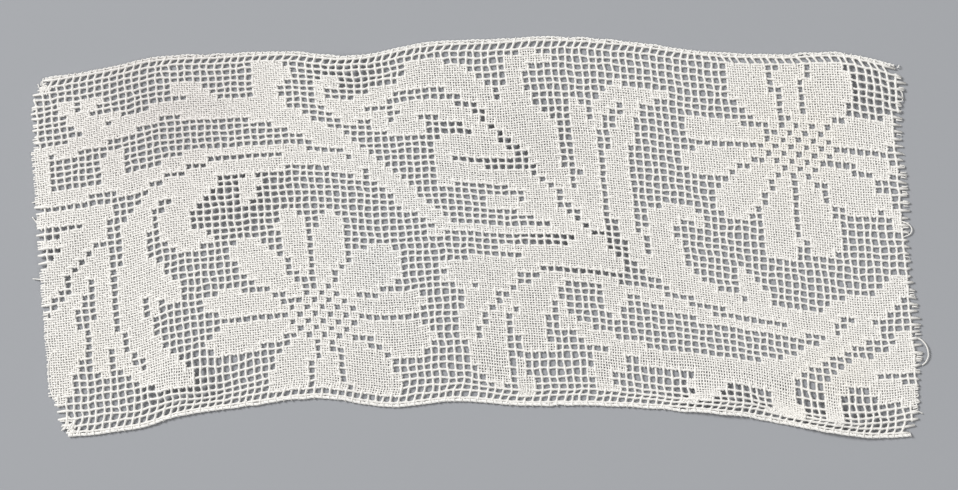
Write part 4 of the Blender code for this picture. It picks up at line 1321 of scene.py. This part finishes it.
@dataclass
class ClothStitch:
    """The darning: two threads through each filled mesh, woven over and under.

    Attributes:
        corners: Where the net's threads cross.
        design: The darned design.
        material: Its material.
        thread_radius: Radius of the darning thread.
        thinnest: The least that radius is.
        thickest: The most that it is.
        unevenness: Its spread, as a share.
        loosest_column: Column round which the weave is loosest and its pinholes widest.
        loose_reach: How many columns away from it the weave is full again.
        looseness: Share of its radius that the thread lacks there.
        weave: How far it lies above or below the cloth's middle.
        end_height: How far its two ends lie below and above the cloth's middle.
        turn: How far it turns past the last bar, in meshes.
        wander: Spread of its places, in meshes.
        sides: Sides of a thread's tube.
    """

    corners: NetCorners
    design: DarnedDesign
    material: bpy.types.Material
    thread_radius: float = 0.285
    thinnest: float = 0.19
    thickest: float = 0.36
    unevenness: float = 0.07
    loosest_column: float = 62.0
    loose_reach: float = 48.0
    looseness: float = 0.16
    weave: float = 0.22
    end_height: float = 0.1
    turn: float = 0.17
    wander: float = 0.022
    sides: int = 5

    def strand(self, line: int, first: int, last: int, number: int, way: ThreadWay) -> np.ndarray:
        """One pass of the needle through a run.

        Args:
            line: The run's row or column.
            first: Its first mesh.
            last: One past its last mesh.
            number: Which of the mesh's darning threads it is, 1 or 2.
            way: The way that it runs.

        Returns:
            Its places as column, row and height.
        """
        steps = np.arange(first * THREADS_PER_MESH, last * THREADS_PER_MESH + 1)
        mesh = np.minimum(steps // THREADS_PER_MESH, last - 1)
        along = steps / THREADS_PER_MESH - mesh
        aside = np.full(len(steps), number / THREADS_PER_MESH)
        lines = np.full(len(steps), line)
        chance = self.corners.chance
        if way is ThreadWay.ROWS:
            column, row = self.corners.inside_mesh(mesh, lines, along, aside)
            row = row + self.wander * chance.normal(size=len(steps))
        else:
            column, row = self.corners.inside_mesh(lines, mesh, aside, along)
            column = column + self.wander * chance.normal(size=len(steps))
        over = np.where((steps + line * THREADS_PER_MESH + number) % 2 == 0, 1.0, -1.0)
        if way is ThreadWay.COLUMNS:
            over = -over
        return np.column_stack([column, row, over * self.weave])

    def build(self, way: ThreadWay) -> bpy.types.Object:
        """Make and dress the darning threads that run one way.

        Args:
            way: The way that they run.

        Returns:
            The piece.
        """
        batch = ThreadBatch(self.sides)
        chance = self.corners.chance
        axis = 0 if way is ThreadWay.ROWS else 1
        for line, first, last in self.design.runs(way):
            out = self.strand(line, first, last, 1, way)
            back = self.strand(line, first, last, 2, way)[::-1]
            turn = (out[-1] + back[0]) / 2
            turn[axis] += self.turn
            turn[2] = 0.0
            start, end = out[0].copy(), back[-1].copy()
            start[axis] -= self.turn
            end[axis] -= self.turn
            start[2], end[2] = -self.end_height, self.end_height
            path = np.vstack([start, out, turn, back, end])
            places = self.corners.cloth.place(path[:, 0], path[:, 1])
            places[:, 2] += (LACE_THICKNESS / 2 + path[:, 2]) * MM
            away = np.minimum(np.abs(path[:, 0] - self.loosest_column) / self.loose_reach, 1.0)
            full = 1 - self.looseness * (0.5 + 0.5 * np.cos(np.pi * away))
            radii = self.thread_radius * full * (1 + self.unevenness * chance.normal(size=len(path)))
            batch.add(places, np.clip(radii, self.thinnest, self.thickest) * MM)
        return dress(batch.build(f"cloth_stitch_{way.value}"), self.material)


@dataclass
class EdgeCord:
    """A long edge: the net's border thread overcast onto a core.

    Attributes:
        name: The piece's name.
        cloth: The lace as it lies.
        material: Its material.
        row: The net's row beside it.
        outward: 1 for the upper edge, -1 for the lower.
        radius: Radius of the whole cord.
        strands: How many strands are twisted together.
        strand_radius: Radius of a strand.
        spread: How far the strands lie from the cord's middle.
        twist_pitch: Length of a full twist.
        gap: Distance from the net's edge.
        height: Height of the twist against its width, as a share.
        wobble: How unevenly the cord runs.
        twist_drift: How unevenly it is twisted, in radians.
        bends: How many places along it the wobble and the drift change at.
        points: How many points a strand has.
        sides: Sides of a strand's tube.
        slant: How far an overcast stitch sits past its column, in meshes.
        stitch_radius: Radius of its thread.
        stitch_points: How many points its thread has.
        stitch_lean: How far it runs along the cord each way from its middle, in meshes.
        stitch_drift: Spread of its place, in meshes.
        stitch_reach: How far round the cord it goes, in half turns.
        stitch_sink: How far it sinks into the strands at the side and at the top.
        seed: Seed of its unevenness, to which the row is added.
    """

    name: str
    cloth: LaidCloth
    material: bpy.types.Material
    row: float
    outward: int
    radius: float
    strands: int
    strand_radius: float
    spread: float
    twist_pitch: float
    gap: float = 0.3
    height: float = 0.8
    wobble: float = 0.13
    twist_drift: float = 0.16
    bends: int = 90
    points: int = 1100
    sides: int = 6
    slant: float = 0.5
    stitch_radius: float = 0.17
    stitch_points: int = 9
    stitch_lean: float = 0.14
    stitch_drift: float = 0.06
    stitch_reach: tuple[float, float] = (-0.35, 1.35)
    stitch_sink: tuple[float, float] = (0.02, 0.06)
    seed: int = 5

    def middle(self, column: np.ndarray) -> np.ndarray:
        """Middle line of the cord.

        Args:
            column: Columns of the places.

        Returns:
            The places in metres.
        """
        out = self.cloth.place(column, np.full(len(column), self.row))
        out[:, 1] += self.outward * (self.radius + self.gap) * MM
        out[:, 2] += LACE_THICKNESS / 2 * MM
        return out

    def build(self) -> bpy.types.Object:
        """Make and dress the cord with its overcast stitches.

        Returns:
            The piece.
        """
        end = RAW_ENDS[0] if self.row == 0 else RAW_ENDS[-1]
        chance = np.random.default_rng(int(self.row) + self.seed)
        middle = self.middle(np.linspace(end.first, end.last, self.points))
        steps = np.linalg.norm(np.diff(middle, axis=0), axis=1)
        travelled = np.concatenate([[0], np.cumsum(steps)]) / MM
        batch = ThreadBatch(self.sides)
        places = np.linspace(0, travelled[-1], self.bends)
        drifted = np.cumsum(chance.normal(size=self.bends)) * self.twist_drift
        drift = np.interp(travelled, places, drifted)
        wobble = soft_weights(places, travelled) @ chance.normal(size=self.bends) * self.wobble
        for number in range(self.strands):
            turn = 2 * np.pi * (travelled / self.twist_pitch + number / self.strands) + drift
            path = middle.copy()
            path[:, 1] += (np.cos(turn) * self.spread + wobble) * MM
            path[:, 2] += np.sin(turn) * self.spread * self.height * MM
            batch.add(path, self.strand_radius * MM)
        for column in range(math.ceil(end.first), math.floor(end.last) + 1):
            self.add_stitch(batch, column + self.slant + chance.normal() * self.stitch_drift)
        return dress(batch.build(self.name), self.material)

    def add_stitch(self, batch: ThreadBatch, column: float) -> None:
        """Wrap one overcast stitch round the cord.

        Args:
            batch: Where the stitch goes.
            column: Its place along the edge.
        """
        start, end = self.stitch_reach
        turns = np.linspace(start * np.pi, end * np.pi, self.stitch_points)
        if self.outward < 0:
            turns = np.pi - turns
        path = self.middle(column + np.linspace(-self.stitch_lean, self.stitch_lean, len(turns)))
        at_side, at_top = self.stitch_sink
        path[:, 1] -= np.cos(turns) * (self.radius - at_side) * MM
        path[:, 2] += np.sin(turns) * (self.radius - at_top) * MM
        batch.add(path, self.stitch_radius * MM)


@dataclass
class RawEndThreads:
    """Frayed thread ends, loose loops and matted corners at the two cut ends.

    Attributes:
        cloth: The lace as it lies.
        design: The darned design.
        material: Its material.
        hair_radius: Radius of a frayed end.
        hair_spread: Least and most of that radius, as shares.
        hair_reach: Least and most that a frayed end sticks out, in meshes.
        hair_lean: Spread of its lean, in meshes.
        hair_root: Where it starts: how far inside the raw end in meshes, and its height.
        hair_curve: Its further places: shares of its reach and of its lean, and its height.
        end_inset: How far inside the raw end its mesh is looked up, in meshes.
        darned_chance: Chance of a frayed end where the end mesh is darned.
        bare_chance: Chance of one where it is bare.
        hair_taper: Its radius at its tip, as a share.
        loose_taper: The same for a loose thread.
        tuft_taper: The same for a tuft's thread.
        tuft_radius: Radius of a tuft's threads.
        tuft_spread: Spread of their middles, as columns, rows and height.
        tuft_bend: Spread of their bends, as columns, rows and height.
        tuft_half: Least and most of half their length, in meshes.
        tuft_height: Height of a tuft's middle.
        least_gap: Least gap between a thread and what the lace lies on.
        path_points: How many points a curve has for each of its places.
        sides: Sides of a thread's tube.
        seed: Seed of the scatter.
    """

    cloth: LaidCloth
    design: DarnedDesign
    material: bpy.types.Material
    hair_radius: float = 0.27
    hair_spread: tuple[float, float] = (0.7, 1.2)
    hair_reach: tuple[float, float] = (0.05, 0.3)
    hair_lean: float = 0.14
    hair_root: tuple[float, float] = (0.5, 0.6)
    hair_curve: tuple[tuple[float, float, float], ...] = (
        (0.0, 0.2, 0.65),
        (0.6, 0.6, 0.55),
        (1.0, 1.0, 0.45),
    )
    end_inset: float = 0.6
    darned_chance: float = 0.75
    bare_chance: float = 0.3
    hair_taper: float = 0.5
    loose_taper: float = 0.7
    tuft_taper: float = 0.8
    tuft_radius: float = 0.24
    tuft_spread: tuple[float, float, float] = (0.35, 0.42, 0.12)
    tuft_bend: tuple[float, float, float] = (0.15, 0.15, 0.1)
    tuft_half: tuple[float, float] = (0.25, 0.6)
    tuft_height: float = 0.7
    least_gap: float = 0.02
    path_points: int = 5
    sides: int = 5
    seed: int = 23

    def add_path(self, batch: ThreadBatch, places: np.ndarray, radius: float, taper: float) -> None:
        """Add a thread through a few places on a soft curve.

        Args:
            batch: Where it goes.
            places: Its places as column, row and height.
            radius: Its radius in millimetres.
            taper: Its radius at its tip, as a share.
        """
        stations = np.arange(len(places), dtype=float)
        at = np.linspace(0, len(places) - 1, self.path_points * len(places))
        soft = soft_weights(stations, at) @ places
        path = self.cloth.place(soft[:, 0], soft[:, 1])
        path[:, 2] += np.maximum(soft[:, 2], radius + self.least_gap) * MM
        batch.add(path, np.linspace(radius, radius * taper, len(path)) * MM)

    def build(self) -> bpy.types.Object:
        """Make and dress all of them as one piece.

        Returns:
            The piece.
        """
        batch = ThreadBatch(self.sides)
        chance = np.random.default_rng(self.seed)
        inside, height = self.hair_root
        for row in np.arange(1.0, MESH_ROWS, 1.0 / THREADS_PER_MESH):
            first, last = (float(end) for end in end_columns(row))
            for edge, way in ((first, -1), (last, 1)):
                mesh = int(edge - way * self.end_inset)
                darned = self.design.filled[min(mesh, MESH_COLUMNS - 1), int(row)]
                if chance.random() > (self.darned_chance if darned else self.bare_chance):
                    continue
                reach = chance.uniform(*self.hair_reach)
                lean = chance.normal() * self.hair_lean
                places = [(edge - way * inside, row, height)]
                places += [(edge + way * reach * out, row + lean * aside, up)
                           for out, aside, up in self.hair_curve]
                radius = self.hair_radius * chance.uniform(*self.hair_spread)
                self.add_path(batch, np.array(places), radius, self.hair_taper)
        for loose in LOOSE_THREADS:
            self.add_path(batch, np.array(loose.places), loose.radius, self.loose_taper)
        for clump in CLUMPS:
            self.add_clump(batch, chance, clump)
        return dress(batch.build("raw_end_threads"), self.material)

    def add_clump(self, batch: ThreadBatch, chance: np.random.Generator, clump: Clump) -> None:
        """Add a matted tuft of thread over a corner.

        Args:
            batch: Where it goes.
            chance: Source of its scatter.
            clump: The tuft.
        """
        for _ in range(clump.count):
            middle = np.array([clump.column, clump.row, self.tuft_height])
            middle = middle + chance.normal(size=3) * self.tuft_spread
            lean = chance.uniform(0, 2 * math.pi)
            half = np.array([math.cos(lean), math.sin(lean), 0.0]) * chance.uniform(*self.tuft_half)
            bend = chance.normal(size=3) * self.tuft_bend
            places = np.array([middle - half, middle + bend, middle + half])
            self.add_path(batch, places, self.tuft_radius, self.tuft_taper)


@dataclass(frozen=True)
class SoftLight:
    """A square soft light that looks at the lace.

    Attributes:
        name: Its name.
        place: Where it hangs, in metres.
        size: Its width in metres.
        power: Its power in watts.
    """

    name: str
    place: tuple[float, float, float]
    size: float
    power: float

    def hang(self) -> None:
        """Put the light into the scene."""
        lamp = bpy.data.lights.new(self.name, "AREA")
        lamp.size = self.size
        lamp.energy = self.power
        made = bpy.data.objects.new(self.name, lamp)
        made.location = self.place
        made.rotation_euler = (-made.location).to_track_quat("-Z", "Y").to_euler()
        bpy.context.scene.collection.objects.link(made)


LIGHTS = (
    SoftLight("key light", (-2.55, 1.65, 2.55), 1.2, 166.0),
    SoftLight("fill light", (1.0, -0.6, 1.7), 1.6, 13.0),
)


@dataclass
class Studio:
    """The table, the lights and the camera above.

    Attributes:
        cloth: The lace as it lies.
        picture_width: Width of the photograph in pixels.
        mm_per_pixel: Real size of a pixel of the photograph.
        picture_middle: Middle of the photograph on the lace's tables, in mm.
        lens: Focal length of the camera.
        sensor: Width of its sensor.
        floor_colour: Colour of the table.
        floor_roughness: Its roughness.
        floor_reach: How far the table reaches each way, in metres.
        floor_drop: How far it lies under the lace, in metres.
        air_colour: Colour of the light from all round.
        air_strength: Its strength.
    """

    cloth: LaidCloth
    picture_width: float = 958.0
    mm_per_pixel: float = 0.342
    picture_middle: tuple[float, float] = (-0.86, 66.0)
    lens: float = 85.0
    sensor: float = 36.0
    floor_colour: tuple[float, float, float] = (0.32, 0.33, 0.35)
    floor_roughness: float = 0.9
    floor_reach: float = 3.0
    floor_drop: float = 0.00005
    air_colour: tuple[float, float, float] = (1.0, 0.99, 0.97)
    air_strength: float = 0.28

    def build(self) -> None:
        """Make the table, the lights and the camera."""
        self.add_floor()
        for light in LIGHTS:
            light.hang()
        world = bpy.data.worlds.new("soft room")
        world.use_nodes = True
        backdrop = world.node_tree.nodes["Background"]
        backdrop.inputs["Color"].default_value = (*self.air_colour, 1.0)
        backdrop.inputs["Strength"].default_value = self.air_strength
        bpy.context.scene.world = world
        bpy.context.scene.view_settings.view_transform = "Standard"
        self.add_camera()

    def add_floor(self) -> None:
        """Lay a plain pale table under the lace."""
        size = self.floor_reach
        mesh = bpy.data.meshes.new("table")
        corners = [(-size, -size, 0), (size, -size, 0), (size, size, 0), (-size, size, 0)]
        mesh.from_pydata(corners, [], [(0, 1, 2, 3)])
        floor = bpy.data.objects.new("table", mesh)
        floor.location.z = -self.floor_drop
        made = bpy.data.materials.new("pale table")
        made.use_nodes = True
        shader = made.node_tree.nodes["Principled BSDF"]
        shader.inputs["Base Color"].default_value = (*self.floor_colour, 1.0)
        shader.inputs["Roughness"].default_value = self.floor_roughness
        mesh.materials.append(made)
        bpy.context.scene.collection.objects.link(floor)

    def add_camera(self) -> None:
        """Look straight down with the photograph's frame."""
        camera = bpy.data.cameras.new("camera")
        camera.lens = self.lens
        camera.sensor_width = self.sensor
        width = self.picture_width * self.mm_per_pixel * MM
        made = bpy.data.objects.new("camera", camera)
        x, y = (np.array(self.picture_middle) * MM + self.cloth.shift[:2]).tolist()
        made.location = (x, y, width * self.lens / self.sensor)
        bpy.context.scene.collection.objects.link(made)
        bpy.context.scene.camera = made


def main() -> None:
    """Build the lace, the table and the camera."""
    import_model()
    cloth = LaidCloth()
    design = DarnedDesign()
    corners = NetCorners(cloth, design)
    tone, twist = linen_tone_group(), ply_twist_group()
    net_thread = NET_FINISH.material(tone, twist)
    darning_thread = DARNING_FINISH.material(tone, twist)
    cord_thread = CORD_FINISH.material(tone, twist)

    net = KnottedNet(corners, net_thread).build()
    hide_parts("lace_ground")
    darning = ClothStitch(corners, design, darning_thread)
    along_rows = darning.build(ThreadWay.ROWS)
    along_columns = darning.build(ThreadWay.COLUMNS)
    upper = EdgeCord("upper_edge", cloth, cord_thread, row=0, outward=1, radius=0.5, strands=2,
                     strand_radius=0.24, spread=0.26, twist_pitch=3.4).build()
    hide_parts("upper_edge_cord")
    lower = EdgeCord("lower_edge", cloth, cord_thread, row=MESH_ROWS, outward=-1, radius=0.6, strands=3,
                     strand_radius=0.3, spread=0.27, twist_pitch=5.2).build()
    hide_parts("lower_edge_cord")
    frayed = RawEndThreads(cloth, design, darning_thread).build()

    Studio(cloth).build()


if __name__ == "__main__":
    logging.basicConfig(level=logging.INFO, format="%(name)s: %(message)s")
    main()
